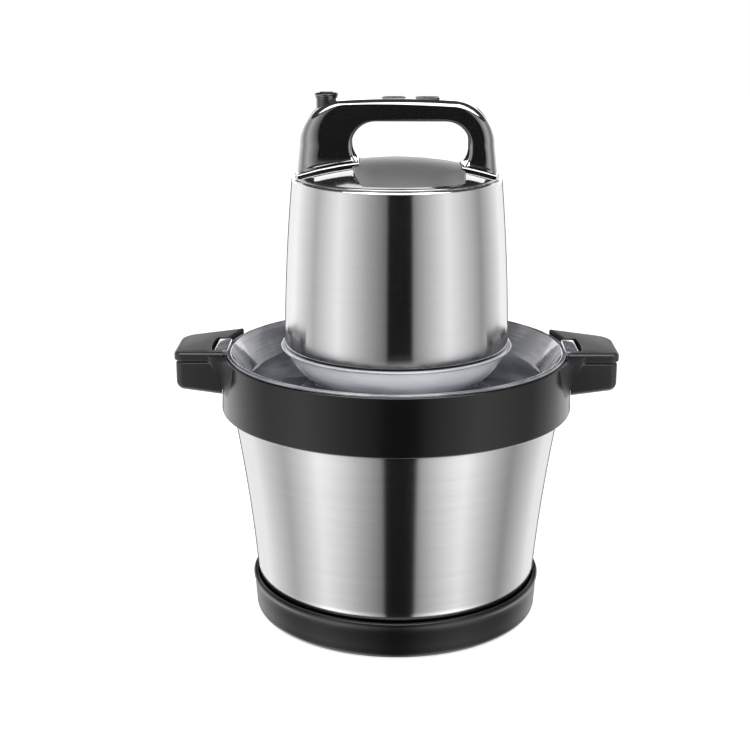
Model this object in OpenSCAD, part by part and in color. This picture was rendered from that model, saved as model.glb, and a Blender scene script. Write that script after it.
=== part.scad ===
// Electric food chopper: steel bowl on a base ring, dish lid and motor unit with an arched handle.
// Millimetres, +Z up, the origin on the table below the middle of the bowl, the front towards -Y.

/* [Bowl] */
// Height of the bowl's bottom above the table
bowl_z0 = 12; // [11:0.5:16]
// Height of the bowl from its bottom to its flange
bowl_h = 168.5; // [150:0.5:200]
// Outside radius just above the rounded bottom edge
bowl_foot_r = 97; // [92:0.5:102]
// Outside radius where the bowl enters the collar
bowl_neck_r = 112.5; // [108:0.5:118]
// How far the side bows inwards between foot and neck
bowl_bow = 1.5; // [0.5:0.1:2.5]
// Radius of the rounded bottom edge
bowl_corner_r = 14; // [10:1:18]
// Thickness of the steel
bowl_wall = 1.2; // [0.8:0.1:1.6]

/* [Base ring] */
// Height of the flared lip above the table
base_h = 27; // [25:0.5:32]
// How far the lip stands out from the bowl
base_lip = 3.2; // [2.6:0.2:6]
// Thickness of the ring and its floor
base_wall = 3; // [2.4:0.1:3.6]
// Radius of a rubber foot
foot_r = 9; // [6:0.5:12]
// Thickness of a rubber foot
foot_h = 2.8; // [2.2:0.1:3.2]
// How far the feet stand below the base ring
foot_show = 1; // [0.6:0.1:1.5]

/* [Collar and side handles] */
// Height of the collar
collar_h = 39; // [32:0.5:46]
// Thickness of the collar at its lower edge
collar_t = 7.4; // [6:0.2:9]
// How far a side handle stands out from the collar
ear_out = 30.1; // [24:0.1:40]
// Distance of a side handle's front edge from the middle
ear_front = 25; // [22:0.5:32]
// Distance of a side handle's rear corner from the middle
ear_rear = 31.3; // [27:0.1:36]
// Angle at which a side handle's rear edge spreads towards the collar
ear_flare = 29; // [10:1:33]
// Thickness of a side handle's top plate
ear_plate_t = 5.8; // [5.6:0.2:7]
// Height of a side handle's lower grip at its end
ear_grip_h = 16.5; // [13:0.5:20]
// Radius of a side handle's rear corner
ear_rear_r = 18; // [12:1:24]
// Radius of a side handle's front corner
ear_front_r = 6; // [4:0.5:14]
// Wall of a side handle's grip
ear_wall = 3; // [2.4:0.2:4]

/* [Blades] */
// Gap between the blade tips and the bowl's foot
blade_tip_gap = 8; // [5:0.5:14]
// Thickness of the blades
blade_t = 2; // [1.5:0.1:2.5]
// Width of a blade at its root
blade_root_w = 26; // [20:1:28]
// Angle by which the blades rise outwards
blade_rise = 4; // [0:0.5:6]
// Distance between lower and upper blades
blade_gap = 30; // [22:1:40]
// Radius of the spindle
spindle_r = 5; // [4:0.5:6]
// Height of the spindle above the bowl's floor
spindle_h = 105; // [80:1:118]
// Wall of the hub's tube
hub_wall = 6; // [4.5:0.5:7]

/* [Lid] */
// Height of the lid's rim above the bowl's flange
lid_rim_h = 6.5; // [5.6:0.1:8]
// Depth of the dish
dish_h = 21.5; // [18:0.5:25]
// How far the dish's wall slopes inwards
dish_slope = 11; // [8:0.5:14]
// Thickness of the lid
lid_t = 2.4; // [2:0.1:2.8]
// Height of the cone-shaped seat above the dish's floor
cone_h = 25.3; // [24.8:0.1:28]
// Width of the lip round the seat
cone_lip = 2.8; // [2:0.1:4]
// Width of a lid tab
tab_w = 33; // [24:1:38]
// How far a lid tab stands out from the lid's rim
tab_out = 7.3; // [5:0.1:10]

/* [Motor housing] */
// Outside radius of the steel sleeve at its lower end
sleeve_r0 = 76.2; // [75:0.2:79]
// Outside radius of the steel sleeve below its rounded top edge
sleeve_r1 = 70.2; // [69:0.2:73]
// Height of the steel sleeve
sleeve_h = 112.3; // [110:0.5:125]
// How far the sleeve bulges between its ends
sleeve_bow = 1.1; // [0:0.1:2]
// Thickness of the sleeve
sleeve_wall = 1; // [0.8:0.1:1.4]
// Radius of the sleeve's rounded top edge
sleeve_edge_r = 2.5; // [2:0.1:3.5]
// Rise of the domed cover from its rim to its middle
dome_h = 10.3; // [8:0.1:12]
// Wall of the cover and of the conical motor base
case_wall = 2.6; // [2.2:0.1:3]
// Thickness of the plate set in the dome
plate_inlay_t = 1.2; // [0.8:0.1:1.6]

/* [Arched handle] */
// Height of the finger gap above the dome
finger_gap = 26.2; // [22:0.2:34]
// Thickness of the grip at its shoulders
grip_t = 13.2; // [13:0.2:18]
// Rise of the grip's top between its shoulders
grip_crown = 1.1; // [0.4:0.1:2]
// Depth of the handle from front to rear
handle_depth = 30; // [27:1:34]
// Left end of the finger gap
gap_x0 = -30; // [-34:1:-26]
// Right end of the finger gap
gap_x1 = 47.6; // [44:0.2:49]
// Radius of the finger gap's upper corners
gap_r = 16; // [12:0.5:18]
// Radius of the handle's shoulders
shoulder_r = 29; // [26:0.5:30]
// Half the width over the handle's shoulders
handle_half = 64; // [62:0.5:66]
// Wall of the handle's shells
handle_wall = 2.5; // [2:0.1:3]
// Height of the raised pads under the handle's legs
pad_lift = 2.2; // [1.5:0.1:3]

/* [Controls and cord gland] */
// Length of a speed button
button_l = 16; // [12:0.5:18]
// Width of a speed button
button_w = 12; // [9:0.5:13]
// Travel of a speed button
button_travel = 2; // [1:0.1:2.2]
// How far the buttons stand out of the grip
button_show = 0.5; // [0.3:0.1:1]
// Distance of the cord gland from the handle's left shoulder
gland_in = 17.5; // [16:0.5:20]
// Radius of the cord gland's body
gland_r = 6.6; // [6:0.1:7.6]
// Height of the cord gland's top above the grip's top
gland_rise = 3.4; // [2:0.1:8]

/* [Motor] */
// Width of the square stator
stator_w = 80; // [78:1:84]
// Height of the stator and the rotor
stack_h = 38; // [30:1:40]
// Radius of the rotor
rotor_r = 26.3; // [24:0.1:26.5]
// Air gap between rotor and stator
air_gap = 0.7; // [0.5:0.1:1]
// Radius of the motor shaft and the output shaft
shaft_r = 4; // [3.6:0.1:4.2]
// Outside radius of a ball bearing
bearing_r = 11; // [10:0.5:12]
// Width of a ball bearing
bearing_w = 7; // [6:0.5:7]
// Radius of the cooling fan
fan_r = 36; // [30:1:38]

/* [Planetary gear] */
// Gear module
gear_m = 1; // [0.95:0.01:1.02]
// Teeth on the sun gear
sun_n = 12; // [12:12:12]
// Teeth on a planet gear
planet_n = 18; // [18:18:18]
// Width of the gears
gear_w = 9; // [7:0.5:9]
// Backlash measured along the pitch circle
backlash = 0.16; // [0.12:0.02:0.3]

/* [Clearances] */
// Gap between pieces of one sub-assembly
fit = 0.15; // [0.1:0.05:0.25]
// Play of a shaft or a screw in its hole, on the radius
run = 0.05; // [0.03:0.01:0.08]
// Gap between sub-assemblies that lift or turn apart
seat = 0.3; // [0.2:0.05:0.4]

/* [Hidden] */
$fn = 96;
cut = 1;

// Colours
gloss_black = [0.05, 0.05, 0.055];
steel = [0.72, 0.72, 0.73];
smoke = [0.55, 0.58, 0.62, 0.8];
rubber = [0.10, 0.10, 0.10];
copper = [0.72, 0.40, 0.20];
laminate = [0.35, 0.35, 0.37];
nylon = [0.90, 0.88, 0.82];
brass = [0.80, 0.65, 0.30];

// Bowl and its flange
rim_z = bowl_z0 + bowl_h;
rim_r = bowl_neck_r + 1.7;
flange_r = rim_r + 1.5;
floor_z = bowl_z0 + bowl_wall;
bowl_corner = [bowl_foot_r - bowl_corner_r, bowl_z0 + bowl_corner_r];
bowl_in_r = rim_r - bowl_wall;

// Lid
lid_r = flange_r + 0.5;
lid_seat_z = rim_z + seat;
lid_top_z = rim_z + lid_rim_h;
dish_r = lid_r - 3.2;
dish_floor_z = lid_top_z - dish_h;
dish_floor_r = dish_r - dish_slope;
lid_under_z = dish_floor_z - lid_t;
cone_top_r = sleeve_r0 - 0.2;
cone_foot_r = cone_top_r - 21;
lip_z = dish_floor_z + cone_h;
bush_r = 14;
bush_in_r = 11;
tab_reach = lid_r + tab_out;
notch_half = tab_w / 2 + 0.8;

// Collar
collar_z1 = rim_z + 5.5;
collar_z0 = collar_z1 - collar_h;
collar_r0 = bowl_neck_r + collar_t;
collar_in_r = lid_r + 0.7;
collar_r1 = collar_in_r + 1.7;
collar_edge = 1.3;
ledge_z = rim_z - bowl_wall - fit;
notch_z = lid_top_z - 1.9;
tab_z0 = notch_z + seat;
tab_z1 = lid_top_z + 2;
notch_r = tab_reach + 2.5;

// Side handles
ear_reach = collar_r0 + ear_out;
ear_root = ear_reach - collar_in_r + 12;
ear_z1 = lid_top_z + 2.4;
ear_z0 = ear_z1 - ear_plate_t;
ear_groove = 1.5;
ear_step = 2.2;
grip_z1 = ear_z0 - ear_groove;
grip_z0 = grip_z1 - ear_grip_h;
tongue_z0 = grip_z1 - 9;
tongue_z1 = tongue_z0 + 5.5;
tongue_w = 30;
tongue_reach = ear_reach - 11;
ear_screw_x = ear_reach - 19;
ear_screw_y = 9;
screw_r = 1.5;
screw_head_r = 2.8;
screw_head_h = 2.2;

// Base
base_r = bowl_foot_r + 1.8;
base_in_r = base_r - base_wall;
base_edge_r = 4.5;
base_floor_z = foot_show + base_wall;
foot_circle = base_r - 22;
rib_r = bowl_foot_r - 22;

// Spindle and blades
spindle_hole_r = spindle_r + 0.2;
seal_z1 = floor_z + fit + 1;
spindle_flange_z = seal_z1 + fit;
hub_z0 = spindle_flange_z + 2 + seat;
hub_r = spindle_r + hub_wall;
hub_flange_r = hub_r + 6;
blade_z0 = hub_z0 + 8.5;
blade_turn = 20;
spacer_z0 = blade_z0 + blade_t;
spacer_z1 = spacer_z0 + blade_gap;
nut_z0 = spacer_z1 + blade_t;
nut_h = 6;
blade_r = bowl_foot_r - bowl_wall - blade_tip_gap;
socket_z1 = lid_under_z - 3.3;
socket_z0 = socket_z1 - 25;
socket_r = hub_r + 3;
hub_z1 = socket_z0 + 10;
hex_af = 14.4;
hex_gap = 0.3;

// Motor base, sleeve and cover
mb_z0 = dish_floor_z + 0.8;
mb_foot_r = cone_foot_r - lid_t - 0.9;
mb_top_r = cone_top_r - lid_t - 0.9;
mb_floor_z = mb_z0 + case_wall;
mb_flange_z = lip_z + seat;
sleeve_z0 = mb_flange_z + 1.4;
sleeve_in_r0 = sleeve_r0 - sleeve_wall;
sleeve_in_r1 = sleeve_r1 - sleeve_wall;
sleeve_top_z = sleeve_z0 + sleeve_h;
sleeve_edge_z = sleeve_top_z - sleeve_edge_r;
collet_r = sleeve_r1 - sleeve_edge_r;
shelf_z = mb_flange_z - 0.2;
plate_z0 = shelf_z + fit;
plate_t = 3.4;
plate_z1 = plate_z0 + plate_t;
plate_r = sleeve_in_r0 - 4;
base_lip_h = 5;
cover_r = collet_r - 0.3;
cover_rim_z = sleeve_top_z + 1;
dome_z = cover_rim_z + dome_h;
dome_r = (cover_r * cover_r + dome_h * dome_h) / (2 * dome_h);
inlay_r = cover_r - 4.4;
inlay_x0 = gap_x0;
inlay_x1 = gap_x1 - 2.6;
inlay_left_r = 232;
inlay_right_r = 700;
dome_room = 14;
cover_boss_z = sleeve_top_z - 3;
tie_y = 60;
tie_r = 2;
tie_depth = 3.5;

// Handle
handle_z0 = cover_rim_z - 2;
gap_top = dome_z + finger_gap;
shoulder_z = gap_top + grip_t;
shoulder = [handle_half - shoulder_r, shoulder_z - shoulder_r];
leg_foot_x = handle_half + 2.5;
shell_screws = [[-handle_half + 7.5, shoulder.y + 1.5], [-shoulder.x + 3, shoulder_z - 9.2],
    [shoulder.x + 15, shoulder.y + 14.8], [(handle_half + gap_x1) / 2 + 0.4, shoulder.y + 1]];
mount_screws = [[-handle_half + 19, -8], [-handle_half + 19, 8],
    [(handle_half + gap_x1) / 2 + 0.6, -8], [(handle_half + gap_x1) / 2 + 0.6, 8]];
boss_r = 4.2;
pocket_h = 2.4;
mount_tip_z = dome_z + 2.5;

// Buttons, switch block and gland
grip_mid_x = (gap_x0 + gap_x1) / 2;
button_x = [grip_mid_x - 11, grip_mid_x + 11];
button_top = shoulder_z + grip_crown + button_show - 0.1;
button_flange = 1.4;
ceiling_z = shoulder_z - handle_wall;
button_flange_z1 = ceiling_z - 0.5;
button_z0 = button_flange_z1 - 1.8;
block_z0 = gap_top + handle_wall + fit;
block_z1 = button_z0 - button_travel - 1.5;
block_l = 42;
spring_r = 3;
wire_r = 0.35;
spring_turns = 3;
gland_x = handle_half - gland_in;
gland_z1 = shoulder_z + grip_crown + gland_rise;
gland_z0 = gland_z1 - 22;
gland_in_r = gland_r - 2;
gland_nut_h = 3.8;
gland_nut_r = gland_r + 1.2;
gland_neck_r = gland_r + 0.6;
cord_hole_r = 3.4;

// Gears
ring_n = sun_n + 2 * planet_n;
gear_a = gear_m * (sun_n + planet_n) / 2;
ring_r = gear_m * ring_n / 2 + 6.5;
ring_z1 = plate_z0 - 0.3;
ring_z0 = ring_z1 - gear_w;
gear_z0 = ring_z0 + 0.4;
gear_z1 = ring_z1 - 0.4;
sun_bore_r = shaft_r - 1;
pin_r = 2;
carrier_z1 = ring_z0 - 0.7;
carrier_t = 3.2;
carrier_z0 = carrier_z1 - carrier_t;
carrier_r = gear_a + 6;
bearing_seat_z = mb_floor_z + 0.2;
coupling_z0 = socket_z1 - 12.5;
coupling_z1 = mb_z0 - 0.4;
coupling_r = bush_in_r - 1.5;
seal_hole_r = 10;

// Motor
low_bearing_z = plate_z0 + 1.2;
plate_boss_z = low_bearing_z + bearing_w + 0.5;
fan_z0 = plate_boss_z + 0.7;
fan_z1 = fan_z0 + 5;
stack_z0 = fan_z1 + 7.8;
stack_z1 = stack_z0 + stack_h;
post_x = stator_w / 2 - 6;
post_r = 5;
comm_z0 = stack_z1 + 9;
comm_z1 = comm_z0 + 12;
comm_r = 12;
bracket_z0 = comm_z1 + 5;
bracket_t = 3.5;
bracket_z1 = bracket_z0 + bracket_t;
bracket_r = post_x * sqrt(2) + post_r + 1.2;
top_bearing_z = bracket_z0 - 1;
shaft_z1 = top_bearing_z + bearing_w + 1.5;
coil_x0 = stator_w / 2 - 11.5;
coil_x1 = stator_w / 2 - 4;
pole_w = 38;
coil_w = 7.2;
coil_end = 6.8;
slots = 12;
brush_z = (comm_z0 + comm_z1) / 2;
brush_l = 15;
brush_w = 5;
brush_h = 8;
holder_wall = 1.3;
holder_l = brush_l + 3;
holder_half = brush_w / 2 + holder_wall;
holder_half_h = brush_h / 2 + holder_wall;
bearing_wall = 3;
bearing_cap = 0.4;
motor_screw_r = 1.9;
motor_head_r = 3.5;
motor_head_h = 3;

// Points on an arc from angle a0 to a1
function arc(c, r, a0, a1, n = 6) =
    [for (i = [0 : n]) let (a = a0 + (a1 - a0) * i / n) c + r * [cos(a), sin(a)]];
// Points on a line from p to q that bulges by sag to its right
function bow(p, q, sag, n = 10) =
    let (d = q - p, side = [d.y, -d.x] / norm(d))
    [for (i = [0 : n]) let (t = i / n) p + t * d + 4 * sag * t * (1 - t) * side];
function rev(v) = [for (i = [len(v) - 1 : -1 : 0]) v[i]];
function rest(v) = [for (i = [1 : len(v) - 1]) v[i]];
function moved(v, d) = [for (p = v) p + d];
// Height of the dome at radius r
function dome_at(r) = dome_z - dome_r + sqrt(dome_r * dome_r - r * r);

// Involute of a circle, and the half angle of a tooth at radius r
function inv(a) = tan(a) - a * PI / 180;
function half_at(r, rb, h0) = h0 - inv(acos(min(1, rb / r))) * 180 / PI;
// Outline of a gear: n teeth, tip ra, root rf, half tooth angle at the pitch circle
function gear_pts(n, ra, rf, half, steps = 5) =
    let (rp = gear_m * n / 2, rb = rp * cos(20), h0 = half + inv(20) * 180 / PI, r0 = max(rb, rf))
    [for (k = [0 : n - 1]) let (m = 360 * k / n)
        each concat(
            rf < rb ? [rf * [cos(m - half_at(r0, rb, h0)), sin(m - half_at(r0, rb, h0))]] : [],
            [for (i = [0 : steps]) let (r = r0 + (ra - r0) * i / steps, h = half_at(r, rb, h0))
                r * [cos(m - h), sin(m - h)]],
            [for (i = [steps : -1 : 0]) let (r = r0 + (ra - r0) * i / steps, h = half_at(r, rb, h0))
                r * [cos(m + h), sin(m + h)]],
            rf < rb ? [rf * [cos(m + half_at(r0, rb, h0)), sin(m + half_at(r0, rb, h0))]] : [])];
function tooth_half(n, play) = 90 / n - play * 90 / (PI * gear_m * n / 2);

// Building blocks
module tube(r1, r0, z0, z1) {
    difference() {
        translate([0, 0, z0]) cylinder(r = r1, h = z1 - z0);
        translate([0, 0, z0 - cut]) cylinder(r = r0, h = z1 - z0 + 2 * cut);
    }
}
module rod(r, z0, z1) {
    translate([0, 0, z0]) cylinder(r = r, h = z1 - z0);
}
module block(x0, x1, y0, y1, z0, z1) {
    translate([x0, y0, z0]) cube([x1 - x0, y1 - y0, z1 - z0]);
}
module hex(af, z0, z1) {
    translate([0, 0, z0]) cylinder(r = af / sqrt(3), h = z1 - z0, $fn = 6);
}
module along_y(y0, y1) {
    translate([0, y1, 0]) rotate([90, 0, 0]) linear_extrude(height = y1 - y0) children();
}
module quarter_turns() {
    for (k = [0 : 3]) rotate([0, 0, 45 + 90 * k]) children();
}
module screw(z0, z1, r, head_r, head_h) {
    rod(r, z0, z1);
    rod(head_r, z0 - head_h, z0);
}

// Bowl
bowl_side = bow([bowl_foot_r, bowl_corner.y], [bowl_neck_r, collar_z0], -bowl_bow);

module bowl() color(steel) {
    difference() {
        rotate_extrude() polygon(concat(
            [[0, bowl_z0]],
            arc(bowl_corner, bowl_corner_r, -90, 0),
            rest(bowl_side),
            [[rim_r, rim_z - bowl_wall], [flange_r, rim_z - bowl_wall],
             [flange_r, rim_z], [bowl_in_r, rim_z]],
            rev(moved(bowl_side, [-bowl_wall, 0])),
            rest(arc(bowl_corner, bowl_corner_r - bowl_wall, 0, -90)),
            [[0, floor_z]]));
        rod(spindle_hole_r, bowl_z0 - cut, floor_z + cut);
    }
}

module base_ring() color(gloss_black) {
    lip_r = bowl_foot_r + base_lip + 0.6;
    difference() {
        rotate_extrude() polygon(concat(
            [[0, foot_show]],
            arc([base_r - base_edge_r, foot_show + base_edge_r], base_edge_r, -90, 0),
            bow([base_r + 0.3, base_h * 0.55], [lip_r, base_h - 1.2], 0.3, 5),
            arc([lip_r - 1, base_h - 1], 1, 15, 90, 4),
            [[bowl_foot_r + 1.1, base_h], [bowl_foot_r + 0.6, bowl_corner.y - 2],
             [base_in_r, bowl_corner.y - 9], [base_in_r, base_floor_z],
             [rib_r + 4, base_floor_z], [rib_r + 4, bowl_z0 - fit], [rib_r, bowl_z0 - fit],
             [rib_r, base_floor_z], [0, base_floor_z]]));
        quarter_turns() translate([foot_circle, 0, 0])
            rod(foot_r + fit, -cut, foot_h + fit);
    }
}

module rubber_feet() color(rubber) {
    quarter_turns() translate([foot_circle, 0, 0]) rod(foot_r, 0, foot_h);
}

// Collar with a tongue and a notch on each side
module bowl_collar() color(gloss_black) {
    difference() {
        union() {
            rotate_extrude() polygon(concat(
                [[bowl_neck_r + fit + 0.1, collar_z0]],
                arc([collar_r0 - collar_edge, collar_z0 + collar_edge], collar_edge, -90, 0, 4),
                arc([collar_r1 - collar_edge, collar_z1 - collar_edge], collar_edge, 0, 90, 4),
                [[collar_in_r, collar_z1], [collar_in_r, ledge_z], [rim_r + fit, ledge_z]]));
            for (s = [0, 1]) mirror([s, 0, 0]) difference() {
                block(collar_in_r, tongue_reach, -tongue_w / 2, tongue_w / 2, tongue_z0, tongue_z1);
                rod(rim_r + 1.5, tongue_z0 - cut, tongue_z1 + cut);
                ear_screw_places() rod(screw_r + run, tongue_z0 - cut, tongue_z1 + cut);
            }
        }
        for (s = [0, 1]) mirror([s, 0, 0])
            block(rim_r, collar_r0 + cut, -notch_half, notch_half, notch_z, collar_z1 + cut);
    }
}

module ear_screw_places() {
    for (y = [-ear_screw_y, ear_screw_y]) translate([ear_screw_x, y, 0]) children();
}

// Outline of a side handle seen from above, inset by i
function ear_pts(i) =
    let (x = ear_reach - i, rf = max(1, ear_front_r - i), rr = max(1, ear_rear_r - i), a = 90 - ear_flare,
         cf = [x - rf, rf + i - ear_front], cr = [x - rr, ear_rear - rr - i])
    concat(
        [cf - [ear_root, rf]],
        arc(cf, rf, -90, 0),
        arc(cr, rr, 0, a),
        [cr + rr * [cos(a), sin(a)] + ear_root * [-1, tan(ear_flare)]]);

module ear_plate() color(gloss_black) {
    ear_plate_in_r = collar_r1 + (collar_r0 - collar_r1) * (collar_z1 - grip_z1) / collar_h + fit;
    difference() {
        union() {
            difference() {
                union() {
                    translate([0, 0, ear_z0]) linear_extrude(height = ear_plate_t) polygon(ear_pts(0));
                    translate([0, 0, grip_z1 + fit])
                        linear_extrude(height = ear_groove) polygon(ear_pts(ear_step));
                }
                rod(ear_plate_in_r, grip_z1 - cut, ear_z1 + cut);
                difference() {
                    block(0, notch_r, -notch_half, notch_half, notch_z, ear_z1 + cut);
                    tube(notch_r * 2, notch_r, notch_z - cut, ear_z1 + 2 * cut);
                }
            }
            ear_screw_places() rod(boss_r, tongue_z1 + fit, ear_z0 + cut);
        }
        ear_screw_places() rod(screw_r + run, tongue_z1 - cut, ear_z1 - 2.4);
    }
}
module right_handle_plate() ear_plate();
module left_handle_plate() mirror([1, 0, 0]) ear_plate();

// Lower grip: a tray that the top plate closes
module ear_grip() color(gloss_black) {
    tray_z = tongue_z0 - fit - 0.2;
    difference() {
        intersection() {
            translate([0, 0, grip_z0 - 6]) linear_extrude(height = ear_grip_h + 6) polygon(ear_pts(1));
            along_y(-ear_reach, ear_reach) polygon([[0, grip_z1], [0, grip_z0 - 5],
                [collar_in_r - 8, grip_z0 - 5], [ear_reach - 4, grip_z0], [ear_reach, grip_z0 + 3],
                [ear_reach, grip_z1]]);
        }
        rod(collar_r0 + fit, grip_z0 - 7, grip_z1 + cut);
        difference() {
            translate([0, 0, tray_z]) linear_extrude(height = ear_grip_h) polygon(ear_pts(1 + ear_wall));
            difference() {
                rod(collar_r0 + fit + ear_wall, tray_z - cut, grip_z1 + 2 * cut);
                block(0, ear_reach, -tongue_w / 2 - fit, tongue_w / 2 + fit,
                    tray_z - 2 * cut, grip_z1 + 3 * cut);
            }
        }
        ear_screw_places() {
            rod(screw_r + run, grip_z0 - 7, grip_z1 + cut);
            rod(screw_head_r + run, grip_z0 - 7, grip_z0 + 3);
        }
    }
}
module right_handle_grip() ear_grip();
module left_handle_grip() mirror([1, 0, 0]) ear_grip();

module side_handle_screws() color(steel) {
    for (s = [0, 1]) mirror([s, 0, 0]) ear_screw_places()
        screw(grip_z0 + 3 - fit, ear_z1 - 2.8, screw_r, screw_head_r, screw_head_h);
}

// Spindle, with a flange above the bowl's floor and a nut below it
module bowl_spindle() color(steel) {
    rod(spindle_r, bowl_z0 - 7, floor_z + spindle_h - 2);
    translate([0, 0, floor_z + spindle_h - 2]) cylinder(r1 = spindle_r, r2 = spindle_r - 1.5, h = 2);
    rod(hub_r + 3, spindle_flange_z, spindle_flange_z + 2);
}
module spindle_seal() color(rubber) {
    tube(hub_r + 2, spindle_r + fit, floor_z + fit, seal_z1);
}
module spindle_nut() color(steel) {
    difference() {
        hex(3.2 * spindle_r, bowl_z0 - fit - 6, bowl_z0 - fit);
        rod(spindle_r + run, bowl_z0 - 7, bowl_z0 + cut);
    }
}

// Lid
function wall_at(z) = dish_r + (z - lid_top_z) * dish_slope / dish_h;
module lid() color(smoke) {
    low = lid_t * 1.12;
    cone_in = lid_t * 1.05;
    difference() {
        union() {
            rotate_extrude() polygon(concat(
                [[bush_r, lid_under_z]],
                arc([dish_floor_r - 4, lid_under_z + 6], 6, -90, -60, 3),
                [[wall_at(lid_seat_z) + low, lid_seat_z], [lid_r, lid_seat_z]],
                arc([lid_r - 0.8, lid_top_z - 0.8], 0.8, 0, 90, 3),
                arc([dish_r + 0.6, lid_top_z - 0.8], 0.8, 90, 165, 3),
                arc([dish_floor_r - 3, dish_floor_z + 3.6], 3.6, -30, -90, 4),
                [[cone_foot_r + 1.5, dish_floor_z], [cone_foot_r + 0.8, dish_floor_z + 0.8],
                 [cone_top_r, lip_z - 1.4], [cone_top_r + cone_lip, lip_z - 1.1],
                 [cone_top_r + cone_lip, lip_z], [cone_top_r - cone_in, lip_z],
                 [cone_foot_r - cone_in, dish_floor_z], [bush_r, dish_floor_z]]));
            for (s = [0, 1]) mirror([s, 0, 0]) difference() {
                block(dish_r + 1, tab_reach, -tab_w / 2, tab_w / 2, tab_z0, tab_z1);
                rod(dish_r + 1.6, tab_z0 - cut, tab_z1 + cut);
            }
        }
    }
}
// Inside radius of the bowl's neck at height z
function neck_at(z) =
    let (r = bowl_neck_r - bowl_wall) r + (bowl_in_r - r) * (z - collar_z0) / (rim_z - collar_z0);
module lid_gasket() color(rubber) {
    z0 = rim_z - 7.5;
    z1 = rim_z - 2.5;
    bevel = 1.2;
    low = lid_t * 1.12 + fit;
    rotate_extrude() polygon([[wall_at(z0) + low + 0.35, z0], [neck_at(z0 + bevel) - seat, z0 + bevel],
        [neck_at(z1 - bevel) - seat, z1 - bevel], [wall_at(z1) + low + 0.1, z1]]);
}
module lid_bush() color(rubber) {
    tube(bush_r - fit, bush_in_r, lid_under_z - 1.4, dish_floor_z + 0.3);
    tube(bush_r + 2, bush_r - 1, lid_under_z - 1.4, lid_under_z - fit);
}

// Blade assembly
module blade_hub() color(gloss_black) {
    difference() {
        union() {
            rod(hub_flange_r, hub_z0, blade_z0 - fit);
            rod(hub_r, hub_z0, hub_z1);
        }
        rod(spindle_r + run, hub_z0 - cut, floor_z + spindle_h + 1.5);
    }
}
function arm_pts(n = 10) =
    let (mid = bow([0, 0], [blade_r - 1, 0], -blade_root_w * 0.42, n))
    concat([for (i = [0 : n]) mid[i] + [0, blade_root_w / 2 - (blade_root_w / 2 - 5) * i / n]],
        [for (i = [n : -1 : 0]) mid[i] - [0, blade_root_w / 2 - (blade_root_w / 2 - 3) * i / n]]);
module blade_pair(z0, turn, rise) {
    translate([0, 0, z0]) rotate([0, 0, turn]) difference() {
        union() {
            cylinder(r = hub_flange_r, h = blade_t);
            for (k = [0, 1]) rotate([0, 0, 180 * k]) difference() {
                translate([hub_flange_r, 0, 0]) rotate([0, -rise, 0]) translate([-hub_flange_r, 0, 0])
                    linear_extrude(height = blade_t) polygon(arm_pts());
                block(hub_r - 2 * hub_flange_r, hub_r, -blade_r, blade_r, -blade_r, blade_r);
            }
        }
        translate([0, 0, -cut]) cylinder(r = hub_r + run, h = blade_t + 2 * cut);
        translate([0, 0, -cut - 4]) cylinder(r = hub_flange_r, h = 4 + cut);
    }
}
module lower_blade() color(steel) blade_pair(blade_z0, blade_turn, blade_rise);
module upper_blade() color(steel) blade_pair(spacer_z1, blade_turn + 90, blade_rise);
module blade_spacer() color(gloss_black) {
    tube(hub_r + 4, hub_r + run, spacer_z0 + fit, spacer_z1 - fit);
}
module blade_nut() color(steel) {
    difference() {
        hex(2 * hub_r + 8, nut_z0 + fit, nut_z0 + nut_h);
        rod(hub_r + run, nut_z0 - cut, nut_z0 + nut_h + cut);
    }
}
module blade_socket() color(gloss_black) {
    difference() {
        rod(socket_r, socket_z0, socket_z1);
        rod(hub_r + run, socket_z0 - cut, hub_z1 + fit);
        hex(hex_af + 2 * hex_gap, hub_z1 - cut, socket_z1 + cut);
        translate([0, 0, socket_z1 - 1.5])
            cylinder(r1 = hex_af / sqrt(3), r2 = hex_af / sqrt(3) + 2.2, h = 1.5 + 0.01);
    }
}

// Motor base: a cone with a bearing seat and a pedestal for the ring gear
module motor_base() color(gloss_black) {
    low = case_wall * 0.85;
    slope = (mb_top_r - mb_foot_r) / (mb_flange_z - mb_z0);
    in_top = mb_top_r - case_wall - 1.2;
    difference() {
        union() {
            rotate_extrude() polygon([[seal_hole_r, mb_z0],
                [mb_foot_r - 1.5, mb_z0], [mb_foot_r, mb_z0 + 1.2],
                [mb_top_r, mb_flange_z - 0.2], [sleeve_r0 - 0.2, mb_flange_z],
                [sleeve_r0 - 0.2, sleeve_z0 - fit], [sleeve_in_r0 - seat, sleeve_z0 - fit],
                [sleeve_in_r0 - seat, shelf_z + base_lip_h],
                [plate_r + fit, shelf_z + base_lip_h], [plate_r + fit, shelf_z], [in_top - 1, shelf_z],
                [mb_foot_r - low, mb_floor_z], [ring_r + 1, mb_floor_z], [ring_r + 1, ring_z0 + 3],
                [ring_r + fit, ring_z0 + 3], [ring_r + fit, ring_z0 - fit],
                [ring_r - 3, ring_z0 - fit], [ring_r - 3, mb_floor_z],
                [bearing_r + bearing_wall, mb_floor_z],
                [bearing_r + bearing_wall, bearing_seat_z + bearing_w - 0.3],
                [bearing_r + run, bearing_seat_z + bearing_w - 0.3],
                [bearing_r + run, bearing_seat_z - fit],
                [seal_hole_r, bearing_seat_z - fit]]);
            plate_screw_places() rod(post_r - 0.5, shelf_z - 8, shelf_z);
        }
        plate_screw_places() rod(screw_r + run, shelf_z - 7, shelf_z + cut);
    }
}
module plate_screw_places() {
    for (a = [22.5, 67.5, 112.5, 157.5, 202.5, 247.5, 292.5, 337.5])
        if (abs(a % 90 - 22.5) < 1) rotate([0, 0, a]) translate([plate_r - 11.2, 0, 0]) children();
}

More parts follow.
